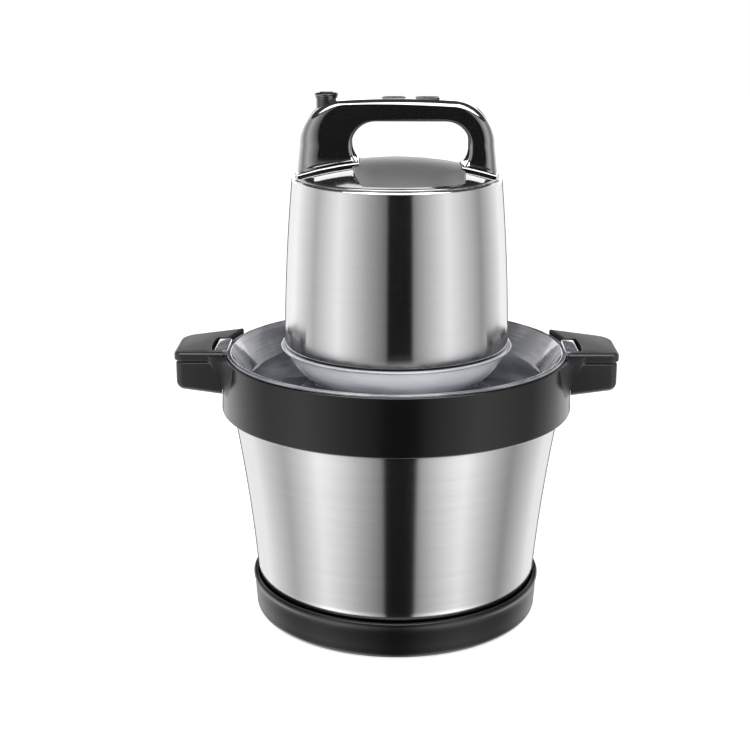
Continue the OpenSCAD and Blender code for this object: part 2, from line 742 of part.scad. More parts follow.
module motor_sleeve() color(steel) {
    side = bow([sleeve_r0, sleeve_z0], [sleeve_r1, sleeve_edge_z], sleeve_bow);
    edge = [sleeve_r1 - sleeve_edge_r, sleeve_edge_z];
    rotate_extrude() polygon(concat(side,
        rest(arc(edge, sleeve_edge_r, 0, 90)),
        arc(edge, sleeve_edge_r - sleeve_wall, 90, 0),
        rest(rev(moved(side, [-sleeve_wall, 0])))));
}

// Solid under the dome's surface, raised by lift
module dome_solid(lift, r = cover_r) {
    rotate_extrude() polygon(concat([[0, handle_z0 - 12], [r, handle_z0 - 12]],
        [for (i = [10 : -1 : 0]) [r * i / 10, dome_at(r * i / 10) + lift]]));
}
module inlay_prism(grow) {
    intersection() {
        rod(inlay_r + grow, handle_z0 - dome_room, dome_z + dome_room);
        translate([inlay_x0 + inlay_left_r, 0, 0])
            rod(inlay_left_r + grow, handle_z0 - dome_room, dome_z + dome_room);
        translate([inlay_x1 - inlay_right_r, 0, 0])
            rod(inlay_right_r + grow, handle_z0 - dome_room, dome_z + dome_room);
    }
}
module mount_places() {
    for (p = mount_screws) translate([p.x, p.y, 0]) children();
}
module tie_places() {
    for (s = [-1, 1]) translate([0, s * tie_y, 0]) children();
}

module leg_pads(grow, lift) {
    y = handle_depth / 2 + grow;
    intersection() {
        dome_solid(lift);
        union() {
            block(-leg_foot_x - 2, gap_x0 + grow, -y, y, handle_z0, dome_z + 10);
            block(gap_x1 - grow, leg_foot_x + 2, -y, y, handle_z0, dome_z + 10);
        }
    }
}

module top_cover() color(gloss_black) {
    skirt_r = sleeve_in_r1 - fit - 0.2;
    difference() {
        union() {
            difference() {
                dome_solid(0);
                translate([0, 0, -case_wall]) dome_solid(0, cover_r - case_wall);
                rod(cover_r + cut, handle_z0 - dome_room, cover_boss_z);
            }
            tube(skirt_r, skirt_r - case_wall, sleeve_edge_z - 9, sleeve_edge_z);
            tube(skirt_r - 0.6, cover_r - case_wall, sleeve_edge_z - 0.1, cover_boss_z + 0.5);
            leg_pads(3, pad_lift);
            intersection() {
                dome_solid(0, cover_r - 1);
                union() {
                    mount_places() rod(5.2, cover_boss_z, dome_z);
                    tie_places() rod(5, cover_boss_z, dome_z);
                }
            }
        }
        difference() {
            inlay_prism(fit);
            dome_solid(-plate_inlay_t - 0.05);
        }
        mount_places() rod(motor_screw_r + run, handle_z0 - dome_room, dome_z + dome_room);
        tie_places() rod(tie_r + run, cover_boss_z - cut, cover_boss_z + tie_depth + 0.5);
    }
}
module dome_plate() color([0.5, 0.5, 0.5]) {
    difference() {
        intersection() {
            inlay_prism(0);
            dome_solid(0.15);
        }
        dome_solid(-plate_inlay_t);
        leg_pads(3 + fit, pad_lift + 1);
    }
}

// Outline of the arched handle, inset by i
function arch(i) = concat(
    [[-leg_foot_x + i, handle_z0]],
    arc([-shoulder.x, shoulder.y], shoulder_r - i, 180, 90, 12),
    rest(bow([-shoulder.x, shoulder_z - i], [shoulder.x, shoulder_z - i], -grip_crown, 8)),
    rest(arc(shoulder, shoulder_r - i, 90, 0, 12)),
    [[leg_foot_x - i, handle_z0], [gap_x1 + i, handle_z0]],
    arc([gap_x1 - gap_r, gap_top - gap_r], gap_r + i, 0, 90, 10),
    arc([gap_x0 + gap_r, gap_top - gap_r], gap_r + i, 90, 180, 10),
    [[gap_x0 - i, handle_z0]]);

module handle_shell(side) color(gloss_black) {
    half = handle_depth / 2;
    y0 = side < 0 ? -half : fit / 2;
    y1 = side < 0 ? -fit / 2 : half;
    p0 = side < 0 ? -half + handle_wall : -cut;
    p1 = side < 0 ? cut : half - handle_wall;
    difference() {
        union() {
            difference() {
                union() {
                    along_y(y0, y1) polygon(arch(0));
                    intersection() {
                        leg_pads(1.5, pad_lift + 2.4);
                        block(-leg_foot_x, leg_foot_x, side < 0 ? -2 * half : y0, side < 0 ? y1 : 2 * half,
                            handle_z0, dome_z + 10);
                    }
                }
                difference() {
                    along_y(p0, p1) polygon(arch(handle_wall));
                    dome_solid(pad_lift + fit + handle_wall, leg_foot_x + 5);
                }
            }
            intersection() {
                along_y(y0, y1) polygon(arch(0.5));
                union() {
                    for (p = shell_screws) along_y(y0, y1) translate(p) circle(r = boss_r);
                    for (p = mount_screws) if (p.y * side > 0) translate([p.x, p.y, 0])
                        rod(boss_r, handle_z0, mount_tip_z + 2);
                }
            }
        }
        dome_solid(pad_lift + fit, leg_foot_x + 10);
        for (p = shell_screws) {
            along_y(side < 0 ? -half + handle_wall : -half, half + cut)
                translate(p) circle(r = screw_r + run);
            along_y(half - pocket_h, half + cut) translate(p) circle(r = screw_head_r + run);
        }
        mount_places() rod(motor_screw_r + run, handle_z0 - cut, mount_tip_z + 0.5);
        translate([-gland_x, 0, 0]) rod(gland_r + fit, gland_z0 - fit, gland_z1 + cut);
        translate([-gland_x, 0, 0]) rod(gland_r + 1.8 + fit, gland_z0 - fit, gland_z0 + 2 + fit);
        for (x = button_x) translate([x, 0, 0])
            block(-button_l / 2 - seat, button_l / 2 + seat, -button_w / 2 - seat, button_w / 2 + seat,
                ceiling_z - 4, button_top + cut);
    }
}
module handle_front() handle_shell(-1);
module handle_rear() handle_shell(1);

module handle_screws() color(steel) {
    for (p = mount_screws) translate([p.x, p.y, 0])
        screw(cover_boss_z - fit, mount_tip_z, motor_screw_r, motor_head_r, motor_head_h);
    half = handle_depth / 2;
    for (p = shell_screws) {
        along_y(-half + handle_wall + 1, half - pocket_h + fit) translate(p) circle(r = screw_r);
        along_y(half - pocket_h + fit, half - 0.4) translate(p) circle(r = screw_head_r);
    }
}

// Cord gland on the left shoulder
module cord_gland() color(gloss_black) translate([-gland_x, 0, 0]) {
    tube(gland_r, gland_in_r, gland_z0 + fit, gland_z1 - 1.6);
    tube(gland_r + 1.6, gland_in_r, gland_z0 + fit, gland_z0 + 2);
}
module gland_nut() color(gloss_black) translate([-gland_x, 0, 0]) {
    rotate_extrude() polygon(concat(
        [[gland_r + run, gland_z1 - gland_nut_h], [gland_neck_r, gland_z1 - gland_nut_h],
         [gland_neck_r, gland_z1 - 2.4], [gland_nut_r, gland_z1 - 1.6]],
        arc([gland_nut_r - 0.8, gland_z1 - 0.8], 0.8, 0, 90, 4),
        [[cord_hole_r + 1.3, gland_z1], [cord_hole_r + 1.3, gland_z1 - 1.6 + fit],
         [gland_r + run, gland_z1 - 1.6 + fit]]));
}
module gland_grommet() color(rubber) translate([-gland_x, 0, 0]) {
    tube(gland_in_r - fit, cord_hole_r, gland_z0 + 3, gland_z1 - 1.6);
    tube(cord_hole_r + 1.1, cord_hole_r, gland_z1 - 1.7, gland_z1 - 0.5);
}

// Speed buttons and what they press on
module speed_button(x) color(gloss_black) translate([x, 0, 0]) {
    block(-button_l / 2, button_l / 2, -button_w / 2, button_w / 2, button_z0 + 0.5, button_top);
    block(-button_l / 2 - button_flange, button_l / 2 + button_flange,
        -button_w / 2 - button_flange, button_w / 2 + button_flange, button_z0, button_flange_z1);
}
module speed_button_low() speed_button(button_x[0]);
module speed_button_high() speed_button(button_x[1]);

// A coil spring: rings of points along a helix
module coil(x) color(steel) translate([x, 0, 0]) {
    sides = 6;
    per_turn = 14;
    rings = spring_turns * per_turn;
    z0 = block_z1 + fit + wire_r;
    rise = button_z0 - fit - wire_r - z0;
    pts = [for (i = [0 : rings]) for (k = [0 : sides - 1])
        let (a = 360 * i / per_turn, b = 360 * k / sides, r = spring_r + wire_r * cos(b))
        [r * cos(a), r * sin(a), z0 + rise * i / rings + wire_r * sin(b)]];
    faces = concat(
        [[for (k = [0 : sides - 1]) k]],
        [for (i = [0 : rings - 1]) for (k = [0 : sides - 1])
            let (a = i * sides + k, b = i * sides + (k + 1) % sides) [a, a + sides, b + sides, b]],
        [[for (k = [sides - 1 : -1 : 0]) rings * sides + k]]);
    polyhedron(pts, faces);
}
module button_spring_low() coil(button_x[0]);
module button_spring_high() coil(button_x[1]);
module switch_block() color([0.2, 0.2, 0.22]) {
    translate([grip_mid_x, 0, 0])
        block(-block_l / 2, block_l / 2, -button_w / 2, button_w / 2, block_z0, block_z1);
    for (x = button_x) translate([x, 0, 0]) rod(1.2, block_z1 - 0.5, block_z1 + 1.2);
}

// Motor plate: carries the lower bearing, the stator and the tie rods
module post_places() {
    for (x = [-post_x, post_x]) for (y = [-post_x, post_x]) translate([x, y, 0]) children();
}
module motor_plate() color(laminate) {
    difference() {
        union() {
            rod(plate_r, plate_z0, plate_z1);
            rod(bearing_r + bearing_wall, plate_z0, plate_boss_z);
            post_places() rod(post_r, plate_z0, stack_z0 - fit);
        }
        rod(bearing_r + run, low_bearing_z - fit, plate_boss_z + cut);
        rod(shaft_r + 2, plate_z0 - cut, plate_boss_z);
        post_places() rod(motor_screw_r + run, plate_z0 + 2, stack_z0 + cut);
        plate_screw_places() rod(screw_r + run, plate_z0 - cut, plate_z1 + cut);
        tie_places() rod(tie_r + run, plate_z0 - cut, plate_z1 + cut);
    }
}
module plate_screws() color(steel) {
    plate_screw_places() rod(screw_r, shelf_z - 6.5, plate_z1 + fit);
    plate_screw_places() rod(screw_head_r, plate_z1 + fit, plate_z1 + fit + screw_head_h);
}
module tie_rods() color(steel) {
    tie_places() screw(plate_z0 - fit, cover_boss_z + tie_depth, tie_r, tie_r + 1.5, 2.4);
}

module stator_core() color(laminate) {
    half = stator_w / 2;
    difference() {
        block(-half, half, -half, half, stack_z0, stack_z1);
        rod(rotor_r + air_gap, stack_z0 - cut, stack_z1 + cut);
        post_places() rod(motor_screw_r + run, stack_z0 - cut, stack_z1 + cut);
        for (s = [-1, 1]) {
            for (t = [0, 1]) mirror([t, 0, 0])
                block(coil_x0 - fit, coil_x1 + fit, s * (pole_w / 2 + coil_w / 2) - coil_w / 2 - fit,
                    s * (pole_w / 2 + coil_w / 2) + coil_w / 2 + fit, stack_z0 - cut, stack_z1 + cut);
            block(-10, 10, s * half * 0.66 - 7, s * half * 0.66 + 7, stack_z0 - cut, stack_z1 + cut);
        }
    }
}
module stator_windings() color(copper) {
    for (s = [0, 1]) mirror([s, 0, 0]) difference() {
        block(coil_x0, coil_x1, -pole_w / 2 - coil_w, pole_w / 2 + coil_w,
            stack_z0 - coil_end, stack_z1 + coil_end);
        block(coil_x0 - cut, coil_x1 + cut, -pole_w / 2, pole_w / 2, stack_z0 - fit, stack_z1 + fit);
    }
}
module slot_places() {
    for (k = [0 : slots - 1]) rotate([0, 0, 360 * (k + 0.5) / slots]) children();
}
module rotor_core() color(laminate) {
    difference() {
        rod(rotor_r, stack_z0, stack_z1);
        rod(shaft_r + run, stack_z0 - cut, stack_z1 + cut);
        slot_places() block(rotor_r - 12, rotor_r + cut, -2, 2, stack_z0 - cut, stack_z1 + cut);
    }
}
module rotor_windings() color(copper) {
    slot_places() block(rotor_r - 12 + fit, rotor_r - 2, -2 + fit, 2 - fit, stack_z0 - 1, stack_z1 + 1);
    for (z = [stack_z0 - coil_end + 1, stack_z1 + fit])
        rotate_extrude() polygon(concat([[shaft_r + 4, z]],
            arc([rotor_r - 5, z + 2], 2, -90, 0, 4),
            arc([rotor_r - 5, z + coil_end - 3 - fit], 2, 0, 90, 4),
            [[shaft_r + 4, z + coil_end - 1 - fit]]));
}
module commutator() color(copper) {
    difference() {
        rod(comm_r, comm_z0, comm_z1);
        rod(shaft_r + run, comm_z0 - cut, comm_z1 + cut);
        slot_places() block(comm_r - 2, comm_r + cut, -0.3, 0.3, comm_z0 - cut, comm_z1 + cut);
    }
}
module motor_shaft() color(steel) {
    rod(shaft_r, plate_z0 - 0.2, shaft_z1);
    rod(sun_bore_r - run, gear_z0 - 0.4, plate_z0);
}
module cooling_fan() color(nylon) {
    difference() {
        union() {
            rod(shaft_r + 4, fan_z0, fan_z1);
            rod(fan_r - 4, fan_z0, fan_z0 + 1.2);
            for (k = [0 : 8]) rotate([0, 0, 40 * k])
                block(shaft_r + 3, fan_r, -0.8, 0.8, fan_z0, fan_z1);
        }
        rod(shaft_r + run, fan_z0 - cut, fan_z1 + cut);
    }
}
module carbon_brushes() color([0.15, 0.15, 0.15]) {
    for (s = [0, 1]) mirror([s, 0, 0])
        block(comm_r + seat, comm_r + brush_l, -brush_w / 2, brush_w / 2,
            brush_z - brush_h / 2, brush_z + brush_h / 2);
}
module brush_holders() color(brass) {
    for (s = [0, 1]) mirror([s, 0, 0]) difference() {
        block(comm_r + 3, comm_r + holder_l, -holder_half, holder_half,
            brush_z - holder_half_h, brush_z + holder_half_h);
        block(comm_r + 2, comm_r + brush_l + 1, -brush_w / 2 - fit, brush_w / 2 + fit,
            brush_z - brush_h / 2 - fit, brush_z + brush_h / 2 + fit);
    }
}
module upper_bracket() color(laminate) {
    difference() {
        union() {
            rod(bracket_r, bracket_z0, bracket_z1);
            rod(bearing_r + bearing_wall, top_bearing_z - 1.2, top_bearing_z + bearing_w + bearing_cap);
            post_places() rod(post_r, stack_z1 + fit, bracket_z0 + cut);
            for (s = [0, 1]) mirror([s, 0, 0])
                block(comm_r + 6, comm_r + brush_l + 1, -holder_half, holder_half,
                    brush_z + holder_half_h + fit, bracket_z0 + cut);
        }
        rod(bearing_r + run, top_bearing_z - fit, top_bearing_z + bearing_w + 2);
        rod(shaft_r + 2, top_bearing_z - 3, bracket_z1 + cut);
        post_places() rod(motor_screw_r + run, stack_z1 - cut, bracket_z1 + cut);
        for (k = [0 : 3]) rotate([0, 0, 90 * k]) translate([bracket_r - 13, 0, bracket_z0 - cut])
            cylinder(r = 7, h = bracket_t + 2 * cut);
    }
}
module motor_screws() color(steel) {
    post_places() {
        rod(motor_screw_r, plate_z0 + 2.5, bracket_z1 + fit);
        rod(motor_head_r, bracket_z1 + fit, bracket_z1 + fit + motor_head_h);
    }
}
module ball_bearing(z) {
    cage = (shaft_r + bearing_r) / 2;
    difference() {
        rod(bearing_r, z, z + bearing_w);
        rod(shaft_r + run, z - cut, z + bearing_w + cut);
        tube(cage + 2, cage - 2, z - cut, z + 0.8);
        tube(cage + 2, cage - 2, z + bearing_w - 0.8, z + bearing_w + cut);
    }
}
module ball_bearings() color(steel) {
    ball_bearing(low_bearing_z);
    ball_bearing(top_bearing_z);
    ball_bearing(bearing_seat_z);
}

// Planetary gear: sun on the motor shaft, three planets, ring gear held in the motor base
module ring_gear() color(nylon) {
    pitch = gear_m * ring_n / 2;
    half = tooth_half(ring_n, -backlash);
    difference() {
        rod(ring_r, ring_z0, ring_z1);
        translate([0, 0, ring_z0 - cut]) rotate([0, 0, 180 / ring_n])
            linear_extrude(height = gear_w + 2 * cut)
                polygon(gear_pts(ring_n, pitch + 1.25 * gear_m, pitch - 0.85 * gear_m, half));
    }
}
module sun_gear() color(steel) {
    pitch = gear_m * sun_n / 2;
    half = tooth_half(sun_n, backlash);
    translate([0, 0, gear_z0]) difference() {
        linear_extrude(height = gear_z1 - gear_z0)
            polygon(gear_pts(sun_n, pitch + 0.9 * gear_m, pitch - 1.2 * gear_m, half));
        translate([0, 0, -cut]) cylinder(r = sun_bore_r, h = gear_w + 2 * cut);
    }
}
module planet_gear(k) color(nylon) {
    pitch = gear_m * planet_n / 2;
    half = tooth_half(planet_n, backlash);
    rotate([0, 0, 120 * k]) translate([gear_a, 0, gear_z0]) difference() {
        rotate([0, 0, 180 / planet_n]) linear_extrude(height = gear_z1 - gear_z0)
            polygon(gear_pts(planet_n, pitch + 0.9 * gear_m, pitch - 1.2 * gear_m, half));
        translate([0, 0, -cut]) cylinder(r = pin_r + run, h = gear_w + 2 * cut);
    }
}
module planet_gear_1() planet_gear(0);
module planet_gear_2() planet_gear(1);
module planet_gear_3() planet_gear(2);
module planet_carrier() color(steel) {
    difference() {
        rod(carrier_r, carrier_z0, carrier_z1);
        rod(shaft_r + run, carrier_z0 - cut, carrier_z1 + cut);
    }
    for (k = [0 : 2]) rotate([0, 0, 120 * k]) translate([gear_a, 0, 0]) rod(pin_r, carrier_z0, gear_z1);
}
module output_shaft() color(steel) {
    rod(shaft_r, coupling_z0 + 2, carrier_z1);
}
module drive_coupling() color(steel) {
    difference() {
        union() {
            hex(hex_af, coupling_z0, socket_z1 + 0.6);
            rod(coupling_r, socket_z1 + 0.6, coupling_z1);
        }
        rod(shaft_r + run, coupling_z0 + 1.8, coupling_z1 + cut);
    }
}
module shaft_seal() color(rubber) {
    tube(seal_hole_r - run, shaft_r + run, mb_z0 + 0.2, bearing_seat_z - fit - 0.1);
}

base_ring();
rubber_feet();
bowl();
bowl_collar();
left_handle_grip();
right_handle_grip();
left_handle_plate();
right_handle_plate();
side_handle_screws();
bowl_spindle();
spindle_seal();
spindle_nut();
lid();
lid_gasket();
lid_bush();
blade_hub();
lower_blade();
blade_spacer();
upper_blade();
blade_nut();
blade_socket();
motor_base();
motor_sleeve();
top_cover();
dome_plate();
handle_front();
handle_rear();
handle_screws();
cord_gland();
gland_nut();
gland_grommet();
speed_button_low();
speed_button_high();
button_spring_low();
button_spring_high();
switch_block();
motor_plate();
plate_screws();
tie_rods();
stator_core();
stator_windings();
rotor_core();
rotor_windings();
commutator();
motor_shaft();
cooling_fan();
carbon_brushes();
brush_holders();
upper_bracket();
motor_screws();
ball_bearings();
ring_gear();
sun_gear();
planet_gear_1();
planet_gear_2();
planet_gear_3();
planet_carrier();
output_shaft();
drive_coupling();
shaft_seal();
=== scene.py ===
"""Looks of the electric food chopper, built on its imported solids, in metres and in their frame."""

import logging
import math
from collections.abc import Callable, Iterator, Sequence
from dataclasses import dataclass, field
from enum import Enum
from functools import cache

import bmesh
import bpy
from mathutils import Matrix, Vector


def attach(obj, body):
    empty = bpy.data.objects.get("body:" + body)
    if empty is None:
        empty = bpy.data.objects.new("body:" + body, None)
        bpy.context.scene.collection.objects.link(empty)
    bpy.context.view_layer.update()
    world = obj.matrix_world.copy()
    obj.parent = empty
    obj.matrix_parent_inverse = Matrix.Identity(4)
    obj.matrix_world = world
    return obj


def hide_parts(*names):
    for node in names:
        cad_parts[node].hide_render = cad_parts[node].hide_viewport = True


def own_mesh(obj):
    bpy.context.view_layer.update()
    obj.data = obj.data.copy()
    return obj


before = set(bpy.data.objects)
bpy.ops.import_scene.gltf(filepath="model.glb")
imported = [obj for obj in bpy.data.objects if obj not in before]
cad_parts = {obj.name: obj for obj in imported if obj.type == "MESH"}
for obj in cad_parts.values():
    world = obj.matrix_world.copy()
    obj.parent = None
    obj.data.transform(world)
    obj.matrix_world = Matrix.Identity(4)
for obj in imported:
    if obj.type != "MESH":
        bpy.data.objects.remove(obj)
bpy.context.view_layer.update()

MM = 0.001
LOG = logging.getLogger("chopper")
# Steps round a large ring; half the width, and the floor, of the pockets for the lid's tabs in millimetres
FULL, TAB_ROOM, POCKET_Z = 240, 17.3, 185.1

Piece = bpy.types.Object
Flat = tuple[float, float]
Spot = tuple[float, float, float]
Rows = Iterator[tuple]


# Outlines, in millimetres
def arc(c: Flat, r: float, a0: float, a1: float, n: int = 8) -> list[Flat]:
    """Points on an arc, both ends included.

    Args:
        c: The centre.
        r: The radius.
        a0: The first angle in degrees.
        a1: The last angle in degrees.
        n: The number of steps.

    Returns:
        The points in order.
    """
    turns = [math.radians(a0 + (a1 - a0) * i / n) for i in range(n + 1)]
    return [(c[0] + r * math.cos(t), c[1] + r * math.sin(t)) for t in turns]


def oval(c: Flat, rx: float, ry: float, a0: float, a1: float, n: int = 8) -> list[Flat]:
    """Points on an arc of an ellipse, both ends included."""
    return [(c[0] + (x - c[0]) * rx, c[1] + (y - c[1]) * ry) for x, y in arc(c, 1.0, a0, a1, n)]


def bow(p: Flat, q: Flat, sag: float, n: int = 24) -> list[Flat]:
    """Points on a line from p to q that bulges to its right.

    Args:
        p: The first point.
        q: The last point.
        sag: How far the middle stands off the straight line.
        n: The number of steps.

    Returns:
        The points in order.
    """
    dx, dy = q[0] - p[0], q[1] - p[1]
    far = math.hypot(dx, dy)
    ts = [i / n for i in range(n + 1)]
    return [(p[0] + t * dx + 4 * sag * t * (1 - t) * dy / far,
             p[1] + t * dy - 4 * sag * t * (1 - t) * dx / far) for t in ts]


def rounded(corners: Sequence[tuple[float, float, float]], n: int = 5) -> list[Flat]:
    """A closed outline with an arc of its own radius at each corner.

    Args:
        corners: x, y and radius of each corner.
        n: The number of steps in an arc.

    Returns:
        The points in order.
    """
    out: list[Flat] = []
    for i, (x, y, r) in enumerate(corners):
        p = Vector((x, y))
        before, after = Vector(corners[i - 1][:2]) - p, Vector(corners[(i + 1) % len(corners)][:2]) - p
        if r <= 0:
            out.append((x, y))
            continue
        half = before.angle(after) / 2
        far = min(r / math.tan(half), before.length * 0.49, after.length * 0.49)
        r = far * math.tan(half)
        c = p + (before.normalized() + after.normalized()).normalized() * (r / math.sin(half))
        a, b = p + before.normalized() * far - c, p + after.normalized() * far - c
        a0, a1 = math.degrees(math.atan2(a.y, a.x)), math.degrees(math.atan2(b.y, b.x))
        out += arc((c.x, c.y), r, a0, a0 + (a1 - a0 + 180) % 360 - 180, n)
    return out


# Meshes
def link(name: str, data: bpy.types.ID) -> Piece:
    """Adds an object with its data to the scene.

    Args:
        name: The object's name.
        data: Its mesh, camera or lamp.

    Returns:
        The new object.
    """
    made = bpy.data.objects.new(name, data)
    bpy.context.scene.collection.objects.link(made)
    return made


def raw_piece(name: str, verts: Sequence[Spot], faces: Sequence[Sequence[int]] = ()) -> Piece:
    """Makes an object at the origin.

    Args:
        name: The piece's name.
        verts: The points in millimetres.
        faces: The corners of each face.

    Returns:
        The new object.
    """
    mesh = bpy.data.meshes.new(name)
    mesh.from_pydata([(x * MM, y * MM, z * MM) for x, y, z in verts], [], [list(f) for f in faces])
    return link(name, mesh)


def mesh_piece(name: str, verts: Sequence[Spot], faces: Sequence[Sequence[int]]) -> Piece:
    """Makes an object like raw_piece does, with doubled points merged and its faces turned outwards."""
    return tidy(raw_piece(name, verts, faces))


def tidy(piece: Piece) -> Piece:
    """Merges doubled points and turns the faces outwards.

    Args:
        piece: The piece.

    Returns:
        The piece.
    """
    bm = bmesh.new()
    bm.from_mesh(piece.data)
    bmesh.ops.remove_doubles(bm, verts=bm.verts, dist=1e-6)
    bmesh.ops.dissolve_degenerate(bm, edges=bm.edges, dist=1e-7)
    bmesh.ops.recalc_face_normals(bm, faces=bm.faces)
    bm.to_mesh(piece.data)
    bm.free()
    return piece


def lathe(name: str, profile: Sequence[Flat], turns: int = 192, at: Flat = (0, 0)) -> Piece:
    """Turns a closed profile round a vertical axis.

    Args:
        name: The piece's name.
        profile: Radius and height of each point; radius 0 is a pole.
        turns: The number of steps round the axis.
        at: Where the axis stands.

    Returns:
        The new object.
    """
    verts: list[Spot] = []
    rings: list[list[int]] = []
    for r, z in profile:
        count = turns if r > 1e-6 else 1
        first = len(verts)
        for k in range(count):
            a = math.tau * k / turns
            verts.append((at[0] + r * math.cos(a), at[1] + r * math.sin(a), z))
        rings.append([first + k % count for k in range(turns)])
    return mesh_piece(name, verts, skin(rings, closed=True))


def skin(rings: Sequence[Sequence[int]], closed: bool = False) -> list[list[int]]:
    """Faces between neighbouring rings of points.

    Args:
        rings: The point numbers of each ring.
        closed: Whether the last ring joins the first.

    Returns:
        The corners of each face.
    """
    faces = []
    nexts = list(rings[1:]) + ([rings[0]] if closed else [])
    for a, b in zip(rings, nexts):
        for k in range(len(a)):
            j = (k + 1) % len(a)
            face = list(dict.fromkeys((a[k], a[j], b[j], b[k])))
            if len(face) > 2:
                faces.append(face)
    return faces


def loft(name: str, rings: Sequence[Sequence[Spot]]) -> Piece:
    """Skins a row of closed rings and closes both ends.

    Args:
        name: The piece's name.
        rings: The points of each ring, the same number in all.

    Returns:
        The new object.
    """
    size = len(rings[0])
    numbers = [list(range(i * size, (i + 1) * size)) for i in range(len(rings))]
    faces = skin(numbers) + [numbers[0], numbers[-1]]
    return mesh_piece(name, [p for ring in rings for p in ring], faces)


def stack(name: str, outline: Callable[[float], list[Flat]], levels: Sequence[Flat],
          ground: Callable[[float, float], float] = lambda x, y: 0.0) -> Piece:
    """Piles up an outline that shrinks by an inset at each level.

    Args:
        name: The piece's name.
        outline: Gives the outline for an inset.
        levels: Inset and height of each level.
        ground: Height of the ground that the levels follow, at x and y.

    Returns:
        The new object.
    """
    return loft(name, [[(x, y, z + ground(x, y)) for x, y in outline(inset)] for inset, z in levels])


def rim(inset: float, z: float, r: float, up: float, n: int = 4) -> list[Flat]:
    """Levels of a rounded edge that turns inwards.

    Args:
        inset: The inset where the rounding starts.
        z: The height of the flat that the rounding ends on.
        r: The radius.
        up: 1 for an upper edge, -1 for a lower one.
        n: The number of steps.

    Returns:
        Inset and height of each level.
    """
    return [(inset + r - r * math.cos(t), z - up * (r - r * math.sin(t)))
            for t in (math.pi / 2 * i / n for i in range(n + 1))]


def prism(name: str, outline: Sequence[Flat], z0: float, z1: float) -> Piece:
    """Raises an outline from z0 to z1."""
    return loft(name, [[(x, y, z) for x, y in outline] for z in (z0, z1)])


def box_outline(x0: float, x1: float, y0: float, y1: float, r: float = 0.0) -> list[Flat]:
    """Outline of a rectangle with rounded corners."""
    return rounded([(x0, y0, r), (x1, y0, r), (x1, y1, r), (x0, y1, r)])


def rod(name: str, r: float, z0: float, z1: float, turns: int = FULL, at: Flat = (0, 0)) -> Piece:
    """An upright cylinder from z0 to z1."""
    return lathe(name, [(0, z0), (r, z0), (r, z1), (0, z1)], turns, at)


def both_sides(right: Piece, kind: str) -> list[tuple[str, Piece]]:
    """Mirrors a piece at the middle plane.

    Args:
        right: The piece on the right.
        kind: What both pieces' names start with.

    Returns:
        Side and piece, first the left one.
    """
    verts = [(-v.co.x / MM, v.co.y / MM, v.co.z / MM) for v in right.data.vertices]
    left = mesh_piece(f"{kind}_left", verts, [list(f.vertices) for f in right.data.polygons])
    right.name = f"{kind}_right"
    return [("left", left), ("right", right)]


class Cut(Enum):
    """What a tool does to a piece."""

    AWAY = "DIFFERENCE"
    JOIN = "UNION"
    KEEP = "INTERSECT"


def bake(piece: Piece) -> Piece:
    """Turns what a piece's modifiers make into its plain mesh.

    Args:
        piece: The piece.

    Returns:
        The piece.
    """
    graph = bpy.context.evaluated_depsgraph_get()
    mesh = bpy.data.meshes.new_from_object(piece.evaluated_get(graph), depsgraph=graph)
    piece.modifiers.clear()
    piece.data = mesh
    return piece


def combine(piece: Piece, tool: Piece, cut: Cut) -> Piece:
    """Cuts a piece with a tool, or joins them, and removes the tool.

    Args:
        piece: The piece that stays.
        tool: The piece that goes.
        cut: What the tool does.

    Returns:
        The piece.
    """
    mod = piece.modifiers.new("cut", "BOOLEAN")
    mod.object, mod.operation, mod.solver = tool, cut.value, "EXACT"
    bake(piece)
    bpy.data.objects.remove(tool)
    return tidy(piece)


# Node graphs
def sums(operation: str, second: bool = False) -> Callable[["Sock", "Value"], "Sock"]:
    """Makes an operator of Sock.

    Args:
        operation: The Math node's operation.
        second: Whether the socket comes second.

    Returns:
        The method.
    """
    def method(self: "Sock", other: "Value") -> "Sock":
        """A Math node on the socket and other."""
        pair = (other, self) if second else (self, other)
        return self.graph.node("ShaderNodeMath", {"operation": operation}, dict(enumerate(pair)))

    return method


class Sock:
    """A node's output that can be used in Python sums."""

    __add__ = __radd__ = sums("ADD")
    __sub__, __rsub__ = sums("SUBTRACT"), sums("SUBTRACT", second=True)
    __mul__ = __rmul__ = sums("MULTIPLY")
    __truediv__, __pow__, __gt__ = sums("DIVIDE"), sums("POWER"), sums("GREATER_THAN")

    def __init__(self, graph: "Graph", socket: bpy.types.NodeSocket) -> None:
        """Keeps the graph and the socket."""
        self.graph, self.socket = graph, socket

    def math(self, operation: str, *others: "Value") -> "Sock":
        """A Math node on this socket and others."""
        return self.graph.node("ShaderNodeMath", {"operation": operation}, dict(enumerate((self, *others))))

    def clamped(self) -> "Sock":
        """This, held between 0 and 1."""
        return self.math("MAXIMUM", 0.0).math("MINIMUM", 1.0)

    def part(self, axis: str) -> "Sock":
        """One component of a vector."""
        return self.graph.node("ShaderNodeSeparateXYZ", {}, {0: self}, out=axis)


Value = Sock | float | int | tuple | list | bpy.types.ID


